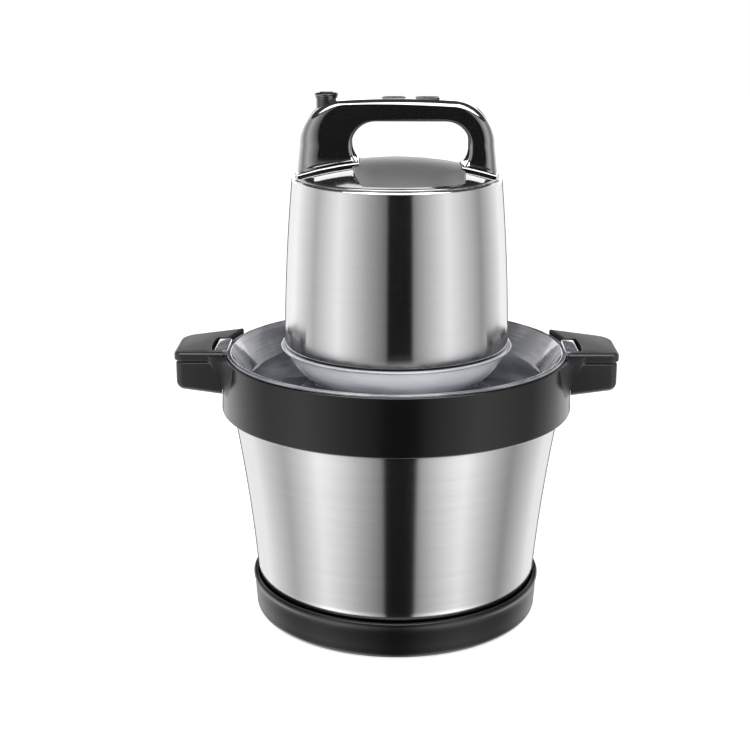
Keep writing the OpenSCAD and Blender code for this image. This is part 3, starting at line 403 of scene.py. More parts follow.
class Graph:
    """A node tree and the one way to add a node to it."""

    def __init__(self, tree: bpy.types.NodeTree) -> None:
        """Keeps the tree."""
        self.tree = tree

    def node(self, kind: str, settings: dict, inputs: dict, out: int | str = 0) -> Sock | None:
        """Adds a node.

        Args:
            kind: The node's type.
            settings: What is set on the node itself first; "stops" are a ramp's.
            inputs: Values or sockets, by place, identifier or name of the input.
            out: Place or name of the output that is handed back.

        Returns:
            The output, or None where the node has none.
        """
        node = self.tree.nodes.new(kind)
        for key, value in settings.items():
            if key == "stops":
                ramp = node.color_ramp
                while len(ramp.elements) < len(value):
                    ramp.elements.new(1.0)
                for stop, (place, level) in zip(ramp.elements, value):
                    stop.position, stop.color = place, (level, level, level, 1)
            else:
                setattr(node, key, value)
        for key, value in inputs.items():
            slot = self.find(node, key)
            for one in value if isinstance(value, list) else [value]:
                if isinstance(one, Sock):
                    self.tree.links.new(one.socket, slot)
                elif slot.type == "RGBA" and len(one) == 3:
                    slot.default_value = (*one, 1.0)
                else:
                    slot.default_value = one
        return Sock(self, node.outputs[out]) if len(node.outputs) else None

    def find(self, node: bpy.types.Node, key: int | str) -> bpy.types.NodeSocket:
        """The node's input by its place, identifier or name.

        Args:
            node: The node.
            key: What the input is known by.

        Returns:
            The input.
        """
        if isinstance(key, int):
            return node.inputs[key]
        return next((s for s in node.inputs if s.identifier == key), None) or node.inputs[key]

    def spots(self) -> Sock:
        """Object coordinates."""
        return self.node("ShaderNodeTexCoord", {}, {}, out="Object")

    def noise(self, scale: Spot, detail: float = 2.0, rough: float = 0.5) -> Sock:
        """Noise from 0 to 1 in object space.

        Args:
            scale: Waves per metre along x, y and z.
            detail: The number of finer layers.
            rough: How strong the finer layers are.

        Returns:
            The noise.
        """
        place = self.node("ShaderNodeMapping", {}, {"Vector": self.spots(), "Scale": scale})
        return self.node("ShaderNodeTexNoise", {}, {"Vector": place, "Scale": 1.0, "Detail": detail,
                                                    "Roughness": rough})

    def tint(self, factor: Sock, a: Value, b: Value) -> Sock:
        """A colour between a, where the factor is 0, and b, where it is 1."""
        return self.node("ShaderNodeMix", {"data_type": "RGBA"},
                         {"Factor_Float": factor, "A_Color": a, "B_Color": b}, out=2)

    def join(self, **parts: Value) -> Sock:
        """A vector from its components X, Y and Z."""
        return self.node("ShaderNodeCombineXYZ", {}, parts)

    def bump(self, height: Sock, depth: float, strength: float = 1.0) -> Sock:
        """A normal from a height.

        Args:
            height: The height from 0 to 1.
            depth: The height of 1 in millimetres.
            strength: How strongly the bumps show.

        Returns:
            The normal.
        """
        inputs = {"Height": height, "Distance": depth * MM, "Strength": strength}
        return self.node("ShaderNodeBump", {}, inputs)


def clean_graph(owner: bpy.types.Material | bpy.types.World) -> Graph:
    """The emptied node graph of a material or a world.

    Args:
        owner: What the graph belongs to.

    Returns:
        The graph.
    """
    owner.use_nodes = True
    owner.node_tree.nodes.clear()
    return Graph(owner.node_tree)


@dataclass(frozen=True)
class Finish:
    """A finish: its name, colour and gloss, and the pattern that a subclass adds."""

    name: str
    colour: Spot
    rough: float = 0.4
    metallic: float = 0.0
    coat: float = 0.0

    def shade(self, factor: float) -> Spot:
        """The colour made lighter or darker."""
        return tuple(min(1.0, c * factor) for c in self.colour)

    def tint(self, g: Graph, factor: Sock, dark: float, light: float) -> Sock:
        """The colour varied between two shades.

        Args:
            g: The graph.
            factor: 0 for the dark shade, 1 for the light one.
            dark: How much darker the dark shade is.
            light: How much lighter the light shade is.

        Returns:
            The colour.
        """
        return g.tint(factor, self.shade(dark), self.shade(light))

    def pattern(self, g: Graph) -> dict[str, Value]:
        """The shader inputs that vary over the surface."""
        raise NotImplementedError

    def fixed(self) -> dict[str, Value]:
        """The shader inputs that are the same everywhere."""
        return {"Metallic": self.metallic, "Coat Weight": self.coat}

    def material(self) -> bpy.types.Material:
        """Builds the material.

        Returns:
            The material.
        """
        mat = bpy.data.materials.new(self.name)
        g = clean_graph(mat)
        surface = g.node("ShaderNodeBsdfPrincipled", {}, self.fixed() | self.pattern(g))
        g.node("ShaderNodeOutputMaterial", {}, {"Surface": surface})
        return mat


@cache
def material_of(finish: Finish) -> bpy.types.Material:
    """The one material of a finish."""
    return finish.material()


class Run(Enum):
    """The way in which brush lines run, as waves per metre along x, y and z."""

    AROUND = (35, 35, 2600)
    ALONG = (2400, 2400, 40)
    ACROSS = (60, 2600, 60)


@dataclass(frozen=True)
class Brushed(Finish):
    """Metal with fine brush lines."""

    run: Run = Run.AROUND
    depth: float = 0.004
    stretch: float = 0.0
    turn: float = 0.25
    metallic: float = 1.0

    def pattern(self, g: Graph) -> dict[str, Value]:
        """Fine lines, broader bands and faint smudges.

        Args:
            g: The graph that the nodes go into.

        Returns:
            The inputs by name.
        """
        lines = g.noise(self.run.value, 3, 0.6)
        bands = g.noise(tuple(w / 9 for w in self.run.value), 2)
        smudge = g.noise((14, 14, 14), 2)
        mix = lines * 0.6 + bands * 0.4
        return {"Base Color": self.tint(g, mix, 0.94, 1.05),
                "Roughness": mix * 0.07 + smudge * 0.03 + (self.rough - 0.05),
                "Normal": g.bump(lines, self.depth, 0.5)}

    def fixed(self) -> dict[str, Value]:
        """The metal's own values."""
        return super().fixed() | {"Anisotropic": self.stretch, "Anisotropic Rotation": self.turn}


@dataclass(frozen=True)
class Lacquer(Finish):
    """Deep gloss with the faint orange peel of moulded and polished plastic."""

    wave: float = 0.0012
    coat: float = 1.0
    index: float = 2.3

    def pattern(self, g: Graph) -> dict[str, Value]:
        """Orange peel, and dulled patches where hands and cloths rub.

        Args:
            g: The graph that the nodes go into.

        Returns:
            The inputs by name.
        """
        peel = g.noise((180, 180, 180), 1)
        rubbed = g.noise((22, 22, 22), 3, 0.6)
        return {"Base Color": self.tint(g, rubbed, 0.8, 1.25),
                "Roughness": rubbed * 0.05 + (self.rough - 0.025),
                "Normal": g.bump(peel, self.wave, 0.4)}

    def fixed(self) -> dict[str, Value]:
        """The lacquer's own values."""
        return super().fixed() | {"IOR": self.index, "Coat IOR": 2.2, "Coat Roughness": 0.05}


@dataclass(frozen=True)
class Moulded(Finish):
    """Plastic with the fine pebbled grain of a spark-eroded mould."""

    pebble: float = 0.35
    depth: float = 0.02

    def pattern(self, g: Graph) -> dict[str, Value]:
        """Pebbles, flow marks and slightly polished high spots.

        Args:
            g: The graph that the nodes go into.

        Returns:
            The inputs by name.
        """
        cells = g.node("ShaderNodeTexVoronoi", {"feature": "SMOOTH_F1"},
                       {"Vector": g.spots(), "Scale": 1 / (self.pebble * MM), "Smoothness": 0.6})
        flow = g.noise((30, 30, 12), 3, 0.6)
        return {"Base Color": self.tint(g, flow, 0.85, 1.2),
                "Roughness": cells * 0.08 + flow * 0.08 + (self.rough - 0.07),
                "Normal": g.bump(cells, self.depth, 0.45)}


@dataclass(frozen=True)
class Smoked(Finish):
    """Tinted clear plastic with painted light: palest at the lip of its cup-shaped middle, where light
    shining through it is painted on.
    """

    through: float = 0.15
    # The colour of the painted light where the plastic looks palest
    pale: Spot = (0.93, 0.94, 0.98)
    low: float = 0.1655
    high: float = 0.189
    cup_r: float = 0.079
    cup_fade: float = 400.0
    # How much paler the painted light makes the upper edge outside the cup, and how much more the cup adds
    edge: float = 0.2
    cup_painted_light: float = 1.36

    def pattern(self, g: Graph) -> dict[str, Value]:
        """Painted light that is paler upwards, above all in the cup, with painted streaks of refracted
        light in rings and waves, wavy bumps and fine scratches.

        Args:
            g: The graph that the nodes go into.

        Returns:
            The inputs by name.
        """
        rise = (g.spots().part("Z") - self.low) / (self.high - self.low)
        rings = g.noise((9, 9, 420), 2, 0.6)
        waves = g.noise((26, 26, 40), 2, 0.5)
        haze = g.noise((700, 700, 90), 3, 0.7)
        x, y = g.spots().part("X"), g.spots().part("Y")
        cup = ((self.cup_r - (x * x + y * y) ** 0.5) * self.cup_fade).clamped()
        # Painted light through the plastic: paler upwards and in the cup, streaked with painted refracted
        # light from the rings and waves
        light = (rise * (self.edge + cup * self.cup_painted_light) + (rings - 0.5) * 0.4
                 + (waves - 0.5) * (1.1 - cup * 0.4)).clamped()
        return {"Base Color": g.tint(light, self.colour, self.pale),
                "Roughness": haze * 0.08 + (self.rough - 0.04),
                "Normal": g.bump(waves, 1.5, 0.6)}

    def fixed(self) -> dict[str, Value]:
        """The clear plastic's own values."""
        return super().fixed() | {"Transmission Weight": self.through, "IOR": 1.5}


@dataclass(frozen=True)
class Layered(Finish):
    """Thin sheets stacked along one axis, or wire laid side by side."""

    pitch: float = 0.5
    depth: float = 0.08

    def pattern(self, g: Graph) -> dict[str, Value]:
        """A ridge for each layer, with its own shade.

        Args:
            g: The graph that the nodes go into.

        Returns:
            The inputs by name.
        """
        along = g.spots().part("Z") * (1 / (self.pitch * MM))
        ridge = along.math("PINGPONG", 0.5) * 2
        own = g.node("ShaderNodeTexWhiteNoise", {"noise_dimensions": "1D"}, {"W": along.math("FLOOR")})
        stain = g.noise((60, 60, 60), 3, 0.6)
        return {"Base Color": self.tint(g, own * 0.5 + ridge * 0.3 + stain * 0.2, 0.6, 1.25),
                "Roughness": stain * 0.15 + (self.rough - 0.07),
                "Normal": g.bump(ridge ** 0.5, self.depth, 0.7)}


@dataclass(frozen=True)
class Cast(Finish):
    """Metal, rubber or carbon with a grain like sand, and fine specks."""

    grain: float = 0.5
    depth: float = 0.05
    speck: float = 0.3

    def pattern(self, g: Graph) -> dict[str, Value]:
        """Sandy grain, clouds, and specks.

        Args:
            g: The graph that the nodes go into.

        Returns:
            The inputs by name.
        """
        wave = 1 / (self.grain * MM)
        sand = g.noise((wave, wave, wave), 4, 0.65)
        cloud = g.noise((35, 35, 35), 3)
        specks = g.node("ShaderNodeTexVoronoi", {}, {"Vector": g.spots(), "Scale": wave * 0.8})
        mask = 1 - (specks > 0.16)
        base = self.tint(g, cloud, 0.85, 1.15)
        both = g.tint(mask * self.speck, base, self.shade(1.6))
        return {"Base Color": both, "Roughness": sand * 0.2 + (self.rough - 0.1),
                "Normal": g.bump(sand, self.depth, 0.6)}


STEEL = Brushed("Brushed bowl steel", (0.52, 0.52, 0.52), 0.14, stretch=0.85)
SLEEVE = Brushed("Brushed sleeve steel", (0.62, 0.62, 0.62), 0.14, stretch=0.85)
GLOSS = Lacquer("Polished black cover", (0.006, 0.006, 0.0065), 0.08)
MOULD = Lacquer("Moulded black collar", (0.003, 0.003, 0.003), 0.2, coat=0.0, wave=0.002, index=1.44)
FOOT = Lacquer("Moulded black base", (0.003, 0.003, 0.003), 0.3, coat=0.0, wave=0.002, index=1.35)
GLAND = Lacquer("Moulded black gland", (0.012, 0.012, 0.0125), 0.2, coat=0.25, wave=0.0, index=1.5)
SATIN = Moulded("Satin black grip", (0.013, 0.013, 0.013), 0.36)
KEYS = Moulded("Satin black key", (0.03, 0.03, 0.032), 0.3, pebble=0.25)
SMOKE = Smoked("Smoke grey lid", (0.1, 0.108, 0.132), 0.12, coat=1.0)
DOME = Moulded("Grey dome inlay", (0.15, 0.15, 0.155), 0.32, pebble=0.3, depth=0.008)
RUBBER = Cast("Black rubber foot", (0.02, 0.02, 0.02), 0.75, grain=0.35, depth=0.03, speck=0.1)
GASKET = Cast("Pale silicone ring", (0.55, 0.55, 0.54), 0.5, depth=0.01, speck=0.1)
BLADE = Brushed("Ground blade steel", (0.6, 0.61, 0.62), 0.18, run=Run.ALONG)
SCREW = Brushed("Turned screw steel", (0.5, 0.5, 0.51), 0.28)
BEARING = Brushed("Polished bearing steel", (0.55, 0.55, 0.56), 0.15, depth=0.002)
CAST = Cast("Sand cast aluminium", (0.5, 0.5, 0.51), 0.45, metallic=1.0, grain=0.6)
LAMINATE = Layered("Stacked iron sheet", (0.16, 0.16, 0.17), 0.45, metallic=0.7)
WIRE = Layered("Enamelled copper wire", (0.55, 0.2, 0.07), 0.3, metallic=0.8, pitch=0.8, depth=0.2)
BARS = Brushed("Turned copper bars", (0.72, 0.36, 0.2), 0.25)
BRASS = Brushed("Pressed brass", (0.72, 0.55, 0.22), 0.3, run=Run.ACROSS)
CARBON = Cast("Pressed carbon", (0.03, 0.03, 0.03), 0.55, grain=0.4, depth=0.04, speck=0.5)
NYLON = Moulded("White gear nylon", (0.75, 0.73, 0.66), 0.4, pebble=0.5, depth=0.008)
SWITCH = Moulded("Dark switch body", (0.05, 0.05, 0.055), 0.45, pebble=0.4)


# Geometry Nodes
class Tree:
    """A Geometry Nodes tree with named sizes that ends in a material."""

    def __init__(self, name: str, sizes: dict[str, float | int]) -> None:
        """Makes the tree and its inputs.

        Args:
            name: The tree's name.
            sizes: Name and first value of each size.
        """
        self.tree = bpy.data.node_groups.new(name, "GeometryNodeTree")
        self.g = Graph(self.tree)
        new = self.tree.interface.new_socket
        new("Places", in_out="INPUT", socket_type="NodeSocketGeometry")
        for key, value in sizes.items():
            kind = "NodeSocketInt" if isinstance(value, int) else "NodeSocketFloat"
            new(key, in_out="INPUT", socket_type=kind).default_value = value
        new("Finish", in_out="INPUT", socket_type="NodeSocketMaterial")
        new("Piece", in_out="OUTPUT", socket_type="NodeSocketGeometry")
        self.inputs = self.tree.nodes.new("NodeGroupInput")

    def size(self, name: str) -> Sock:
        """The socket of a named input."""
        return Sock(self.g, self.inputs.outputs[name])

    def rod(self, top: Value, bottom: Value, depth: Value, z: Value) -> Sock:
        """A rod with the tree's number of sides.

        Args:
            top: Its upper radius.
            bottom: Its lower radius.
            depth: Its length.
            z: The height of its lower end.

        Returns:
            The rod.
        """
        shape = self.g.node("GeometryNodeMeshCone", {}, {
            "Vertices": self.size("Sides"), "Radius Top": top, "Radius Bottom": bottom, "Depth": depth})
        return self.g.node("GeometryNodeTransform", {}, {0: shape, "Translation": self.g.join(Z=z)})

    def combine(self, cut: Cut, *shapes: Value) -> Sock:
        """Joins all shapes of a list, or cuts the second from the first."""
        inputs = {1: shapes[0]} if cut is Cut.JOIN else dict(enumerate(shapes))
        return self.g.node("GeometryNodeMeshBoolean", {"operation": cut.value, "solver": "EXACT"}, inputs)

    def spread(self, shape: Sock, **more: Sock) -> "Tree":
        """Puts the shape at each place and closes the tree."""
        return self.end(self.g.node("GeometryNodeInstanceOnPoints", {}, {
            "Points": self.size("Places"), "Instance": shape, **more}))

    def end(self, shape: Sock) -> "Tree":
        """Realizes the instances, sets the material and closes the tree.

        Args:
            shape: What the tree has made.

        Returns:
            The tree.
        """
        real = self.g.node("GeometryNodeRealizeInstances", {}, {0: shape})
        done = self.g.node("GeometryNodeSetMaterial", {}, {0: real, "Material": self.size("Finish")})
        self.g.node("NodeGroupOutput", {}, {0: done})
        return self

    def make(self, host: Piece, finish: Finish, **sizes: float | int) -> Piece:
        """Runs the tree on an object and keeps the result as a plain mesh.

        Args:
            host: The object whose points are the places.
            finish: The finish of the result.
            **sizes: Values of the named inputs, with _ for a space.

        Returns:
            The host with the new mesh.
        """
        mod = host.modifiers.new("tree", "NODES")
        mod.node_group = self.tree
        given = {key.replace("_", " "): value for key, value in sizes.items()}
        given["Finish"] = material_of(finish)
        for item in self.tree.interface.items_tree:
            if item.in_out == "INPUT" and item.name in given:
                mod[item.identifier] = given[item.name]
        return tidy(bake(host))


def places(name: str, spots: Sequence[Spot], up: Spot = (0, 0, 1)) -> Piece:
    """An object whose points say where a tree puts its pieces.

    Args:
        name: The name of the piece to be.
        spots: The places in millimetres.
        up: Where the pieces point.

    Returns:
        The new object.
    """
    host = raw_piece(name, spots)
    ups = host.data.attributes.new("up", "FLOAT_VECTOR", "POINT")
    ups.data.foreach_set("vector", list(up) * len(spots))
    return host


@cache
def screw_tree() -> Tree:
    """Screws with a chamfered head, a cross recess and a shank, one at each place.

    Returns:
        The tree.
    """
    t = Tree("Cross-head screws", {"Head radius": 0.0028, "Head height": 0.0022, "Shank radius": 0.0015,
                                   "Shank length": 0.014, "Sides": 40})
    r, h, shank_r, length = map(t.size, ("Head radius", "Head height", "Shank radius", "Shank length"))
    edge, sunk = h * 0.35, 0.05 * MM
    body = t.combine(Cut.JOIN, [t.rod(r, r, h * 0.65, h * -1), t.rod(r * 0.82, r, edge, edge * -1),
                                t.rod(shank_r, shank_r, length, (h + length) * -1 + sunk)])
    long, thin = r * 1.2, r * 0.24
    bars = [t.g.node("GeometryNodeMeshCube", {}, {"Size": t.g.join(X=a, Y=b, Z=h)})
            for a, b in ((long, thin), (thin, long))]
    up = t.g.node("GeometryNodeInputNamedAttribute", {"data_type": "FLOAT_VECTOR"}, {"Name": "up"})
    turn = t.g.node("FunctionNodeAlignRotationToVector", {"axis": "Z"}, {"Vector": up})
    return t.spread(t.combine(Cut.AWAY, body, bars), Rotation=turn)


@cache
def foot_tree() -> Tree:
    """Round rubber feet with a chamfered sole, one at each place.

    Returns:
        The tree.
    """
    t = Tree("Rubber feet", {"Radius": 0.009, "Height": 0.0028, "Chamfer": 0.0006, "Sides": 48})
    r, h, c = map(t.size, ("Radius", "Height", "Chamfer"))
    foot = t.combine(Cut.JOIN, [t.rod(r, r, h - c, c), t.rod(r, r - c, c, 0.0)])
    return t.spread(t.combine(Cut.AWAY, foot, t.rod(r * 0.45, r * 0.5, c, 0.0)))


@cache
def sleeve_tree() -> Tree:
    """A sleeve: a grid bent round the axis, bowed between its ends and rounded in at the top.

    Returns:
        The tree.
    """
    t = Tree("Bowed sleeve", {"Foot radius": 0.0762, "Top radius": 0.0702, "Foot height": 0.1925,
                              "Side height": 0.1098, "Edge radius": 0.0025, "Bow": 0.0011,
                              "Hem": 0.0003, "Hem height": 0.003, "Steps round": 241, "Steps up": 71})
    g, straight = t.g, 0.8  # the share of the steps below the rounded edge
    steps = {"Vertices X": t.size("Steps round"), "Vertices Y": t.size("Steps up")}
    grid = g.node("GeometryNodeMeshGrid", {}, {"Size X": 1.0, "Size Y": 1.0} | steps)
    place = g.node("GeometryNodeInputPosition", {}, {})
    turn, climb = (place.part("X") + 0.5) * math.tau, place.part("Y") + 0.5
    side = (climb / straight).math("MINIMUM", 1.0) ** 1.6
    hem = (1 - side * t.size("Side height") / t.size("Hem height")).math("MAXIMUM", 0.0)
    bend = (climb - straight).math("MAXIMUM", 0.0) * (math.pi / 2 / 0.2)
    r0, r1, edge = map(t.size, ("Foot radius", "Top radius", "Edge radius"))
    radius = (r0 + (r1 - r0) * side + t.size("Bow") * 4 * side * (1 - side)
              - edge * (1 - bend.math("COSINE")) - t.size("Hem") * hem * hem)
    height = t.size("Foot height") + t.size("Side height") * side + edge * bend.math("SINE")
    spot = g.join(X=radius * turn.math("COSINE"), Y=radius * turn.math("SINE"), Z=height)
    bent = g.node("GeometryNodeSetPosition", {}, {"Geometry": grid, "Position": spot})
    return t.end(g.node("GeometryNodeMergeByDistance", {}, {"Geometry": bent, "Distance": 0.02 * MM}))


# Sub-assemblies
def dress(piece: Piece, body: str, finish: Finish, node: str = "", slot: str = "",
          sharp: float = 35.0) -> str:
    """Gives a piece its finish and its body, and hides the CAD node that it stands for.

    Args:
        piece: The piece.
        body: The body that it rides on.
        finish: Its finish.
        node: The CAD node that it replaces.
        slot: The material slot; not used.
        sharp: Edges sharper than this many degrees stay sharp.

    Returns:
        The piece's name.
    """
    if not piece.data.materials:
        piece.data.materials.append(material_of(finish))
    piece.data.shade_smooth()
    piece.data.set_sharp_from_angle(angle=math.radians(sharp))
    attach(piece, body)
    if node:
        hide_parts(node)
    return piece.name


class Assembly:
    """A sub-assembly that names its pieces one by one."""

    def rows(self) -> Rows:
        """Builds each piece in order and hands over what dress() takes."""
        raise NotImplementedError

    def build(self) -> list[str]:
        """Builds and dresses the pieces.

        Returns:
            Their names.
        """
        return [dress(*row) for row in self.rows()]


@dataclass
class Base(Assembly):
    """Base ring with its four rubber feet."""

    lip_top: float = 27.0
    foot_r: float = 9.0
    foot_h: float = 2.8
    foot_circle: float = 76.8

    def spots(self) -> list[Spot]:
        """Where the feet stand."""
        far = self.foot_circle * math.sqrt(0.5)
        return [(x * far, y * far, 0) for x in (-1, 1) for y in (-1, 1)]

    def ring(self) -> Piece:
        """The ring: rounded foot, bowed wall, a groove and the flared lip.

        Returns:
            The new object.
        """
        top = self.lip_top
        # Up the outside to the lip, then down the inside to the floor and the well round the spindle
        profile = ([(0, 1)] + arc((94.3, 5.5), 4.5, -90, 0, 10) + bow((98.9, 8), (99.6, 19.5), 0.15, 10)
                   + bow((99.66, 20.5), (100.7, top - 2.2), -0.2, 8)
                   + arc((99.75, top - 1.05), 1.05, -15, 90, 10)
                   + [(97.9, top - 0.1), (97.55, top - 0.4), (97.5, 24), (95.8, 17), (95.8, 4), (79, 4),
                      (79, 11.85), (75, 11.85), (75, 4), (0, 4)])
        ring = lathe("base_ring_shell", profile, FULL)
        for x, y, _ in self.spots():
            room = 0.15
            combine(ring, rod("pocket", self.foot_r + room, -1, self.foot_h + room, 48, (x, y)), Cut.AWAY)
        return ring

    def rows(self) -> Rows:
        """The ring and its feet.

        Yields:
            What dress() takes for each piece.
        """
        feet = foot_tree().make(places("base_feet", self.spots()), RUBBER, Radius=self.foot_r * MM,
                                Height=self.foot_h * MM)
        yield self.ring(), "bowl", FOOT, "base_ring", "gloss_black"
        yield feet, "bowl", RUBBER, "rubber_feet", "black_rubber"


@dataclass
class Bowl(Assembly):
    """Steel bowl and the collar pressed round its neck."""

    z0: float = 12.0
    foot_r: float = 97.0
    neck_r: float = 112.5
    neck_z: float = 147.0
    rim_z: float = 180.5
    rim_r: float = 114.2
    wall: float = 1.2
    corner: float = 14.0
    bow: float = 1.5
    tuck: float = 1.1
    spindle_r: float = 5.2
    collar_z1: float = 186.0
    collar_foot_r: float = 119.9
    collar_top_r: float = 118.6
    ledge_z: float = 179.15

    def side(self, inset: float) -> list[Flat]:
        """The bowed side between foot and neck, tucked in over its lowest part and moved inwards.

        Args:
            inset: How far it is moved inwards.

        Returns:
            Radius and height of each point.
        """
        z0, reach, fine = self.z0 + self.corner, 8, 9
        line = bow((self.foot_r, z0), (self.neck_r, self.neck_z), -self.bow, 120)
        return [(r - inset - self.tuck * max(0.0, 1 - (z - z0) / reach) ** 2, z)
                for r, z in line[:fine] + line[12::4]]

    def shell(self) -> Piece:
        """The bowl with its rounded foot and folded rim.

        Returns:
            The new object.
        """
        c = (self.foot_r - self.corner - self.tuck, self.z0 + self.corner)
        flange, hole = self.rim_r + 1.5, self.spindle_r
        profile = ([(hole, self.z0)] + arc(c, self.corner, -90, 0, 16)[1:] + self.side(0)[1:]
                   + [(self.rim_r, self.rim_z - self.wall)]
                   + arc((flange - 0.6, self.rim_z - 0.6), 0.6, -90, 90, 8)
                   + arc((self.rim_r - self.wall + 0.5, self.rim_z - 0.5), 0.5, 90, 180, 4)
                   + self.side(self.wall)[::-1] + arc(c, self.corner - self.wall, 0, -90, 16)[1:]
                   + [(hole, self.z0 + self.wall)])
        return lathe("bowl_shell", profile, FULL)

    def collar(self) -> Piece:
        """The collar with a notch on each side for the lid's tabs.

        Returns:
            The new object.
        """
        edge = 1.3
        profile = ([(112.75, self.neck_z)]
                   + arc((self.collar_foot_r - edge, self.neck_z + edge), edge, -90, 0, 6)
                   + arc((self.collar_top_r - edge, self.collar_z1 - edge), edge, 0, 90, 6)
                   + [(116.9, self.collar_z1), (116.9, self.ledge_z), (114.35, self.ledge_z)])
        collar = lathe("collar_ring", profile, FULL)
        for s in (-1, 1):
            x0, x1 = sorted((s * 114.2, s * 122))
            notch = prism("notch", box_outline(x0, x1, -TAB_ROOM, TAB_ROOM), POCKET_Z, self.collar_z1 + 2)
            combine(collar, notch, Cut.AWAY)
        return collar

    def rows(self) -> Rows:
        """The bowl and the collar."""
        yield self.shell(), "bowl", STEEL, "bowl", "brushed_steel", 30
        yield self.collar(), "bowl", MOULD, "bowl_collar", "gloss_black"


@dataclass
class Ears(Assembly):
    """Side handles: a top plate screwed to a lower grip on each side."""

    reach: float = 150.0
    front: float = 25.0
    rear: float = 31.3
    flare: float = 29.0
    rear_r: float = 18.0
    front_r: float = 6.0
    root: float = 45.1
    step: float = 2.2
    plate_z0: float = 183.6
    plate_z1: float = 189.4
    grip_z1: float = 182.1
    grip_z0: float = 163.4
    grip_drop: float = 5.0
    grip_curl: float = 2.6
    collar_r: float = 118.88
    grip_room_r: float = 120.05
    pocket_r: float = 126.0
    screw_x: float = 131.0
    screw_y: float = 9.0

    def outline(self, i: float) -> list[Flat]:
        """Outline seen from above, inset by i.

        Args:
            i: The inset.

        Returns:
            The points in order.
        """
        x, rf, rr = self.reach - i, max(1.0, self.front_r - i), max(1.0, self.rear_r - i)
        front = arc((x - rf, rf + i - self.front), rf, -90, 0, 8)
        rear = arc((x - rr, self.rear - rr - i), rr, 0, 90 - self.flare, 16)
        spread = math.tan(math.radians(self.flare))
        roots = [self.root * k for k in (0.25, 0.5, 0.75, 1)]
        start = [(front[0][0] - far, front[0][1]) for far in reversed(roots)]
        end = [(rear[-1][0] - far, rear[-1][1] + far * spread) for far in roots]
        return start + front + rear + end

    def plate(self) -> Piece:
        """The right top plate with its rounded edge, the step below it and the pocket for the lid's tab.

        Returns:
            The new object.
        """
        low, high = self.plate_z0, self.plate_z1
        levels = [(0.6, low)] + rim(0, low, 0.6, -1, 3)[::-1] + rim(0, high, 2.0, 1, 6)
        plate = stack("plate", self.outline, levels)
        step = [(self.step, self.grip_z1 + 0.15), (self.step, low + 1)]
        combine(plate, stack("step", self.outline, step), Cut.JOIN)
        combine(plate, rod("collar_room", self.collar_r, 170, 195), Cut.AWAY)
        pocket = prism("pocket", box_outline(100, 140, -TAB_ROOM, TAB_ROOM), POCKET_Z, 190)
        combine(pocket, rod("pocket_end", self.pocket_r, 180, 195), Cut.KEEP)
        return combine(plate, pocket, Cut.AWAY)

    def grip(self) -> Piece:
        """The right lower grip: a rounded block with two screw wells, whose underside rises outwards.

        Returns:
            The new object.
        """
        def under(x: float) -> float:
            """Height of the underside: a slope from the collar outwards, then a curve up to the end."""
            slope, end = max(0.0, min(1.0, (146 - x) / 37)), max(0.0, (x - 144) / 6)
            return self.grip_z0 - self.grip_drop * slope + self.grip_curl * end ** 2

        rings = [[(x, y, under(x) + lift) for x, y in self.outline(inset)]
                 for inset, lift in rim(1, 0, 3.2, -1, 6)[::-1]]
        rings += [[(x, y, z) for x, y in self.outline(inset)]
                  for inset, z in rim(1, self.grip_z1, 0.8, 1, 4)]
        grip = combine(loft("grip", rings), rod("collar_room", self.grip_room_r, 150, 195), Cut.AWAY)
        for y in (-self.screw_y, self.screw_y):
            combine(grip, rod("well", 2.95, 150, self.grip_z0 + 3, 40, (self.screw_x, y)), Cut.AWAY)
        return grip

    def web(self) -> Piece:
        """The hollow web in the corner between the collar and the right side handle's front.

        Returns:
            The new object.
        """
        ear_y, steps = -self.front + 0.8, 12
        foot_z, rise, curl = 161, 24.7, 2.2
        collar_r, narrows, neck_z, tall, sunk = 119.9, 1.3, 147, 39, 0.2
        back_r, back_from, back_turn = 117.6, -0.22, -0.245
        start, bend = (106.6, -54.0), (121.3, ear_y)
        rings = []
        for k in range(steps + 1):
            f = k / steps
            tip = (118.5 + 12.1 * f, ear_y)
            ring = []
            for n in range(steps + 1):
                t = n / steps
                x, y = ((1 - t) ** 2 * a + 2 * t * (1 - t) * b + t * t * c
                        for a, b, c in zip(start, bend, tip))
                z = foot_z + rise * f + curl * f * t * t
                # Where the web starts: in the collar's conical wall, just below its surface
                hold = (collar_r - narrows * (z - neck_z) / tall - sunk) / math.hypot(x, y)
                part = hold + (1 - hold) * f ** 0.6 * min(1.0, t * 3)
                ring.append((x * part, y * part, z))
            low, top = ring[0][2], ring[-1][2]
            inner = [(ring[-1][0], ear_y + 1.5, top), (115.5, ear_y + 1.5, low)]
            back = [(back_r * math.cos(a), back_r * math.sin(a), low)
                    for a in (back_from + back_turn * m / 6 for m in range(7))]
            rings.append(ring + inner + back)
        return loft("web", rings)

    def screws(self) -> Piece:
        """The four screws that come up through the grips.

        Returns:
            The new object.
        """
        z = self.grip_z0 + 0.65
        spots = [(s * self.screw_x, y, z) for s in (-1, 1) for y in (-self.screw_y, self.screw_y)]
        return screw_tree().make(places("ear_screws", spots, (0, 0, -1)), SCREW, Shank_length=20.3 * MM)

    def rows(self) -> Rows:
        """The plates, grips and webs on both sides, and their screws.

        Yields:
            What dress() takes for each piece.
        """
        for kind, right in (("plate", self.plate()), ("grip", self.grip())):
            for side, piece in both_sides(right, f"ear_{kind}"):
                yield piece, "bowl", SATIN, f"{side}_handle_{kind}", "satin_black"
        for _, piece in both_sides(self.web(), "ear_web"):
            yield piece, "bowl", SATIN, "", "", 50
        yield self.screws(), "bowl", SCREW, "side_handle_screws", "screw_steel"


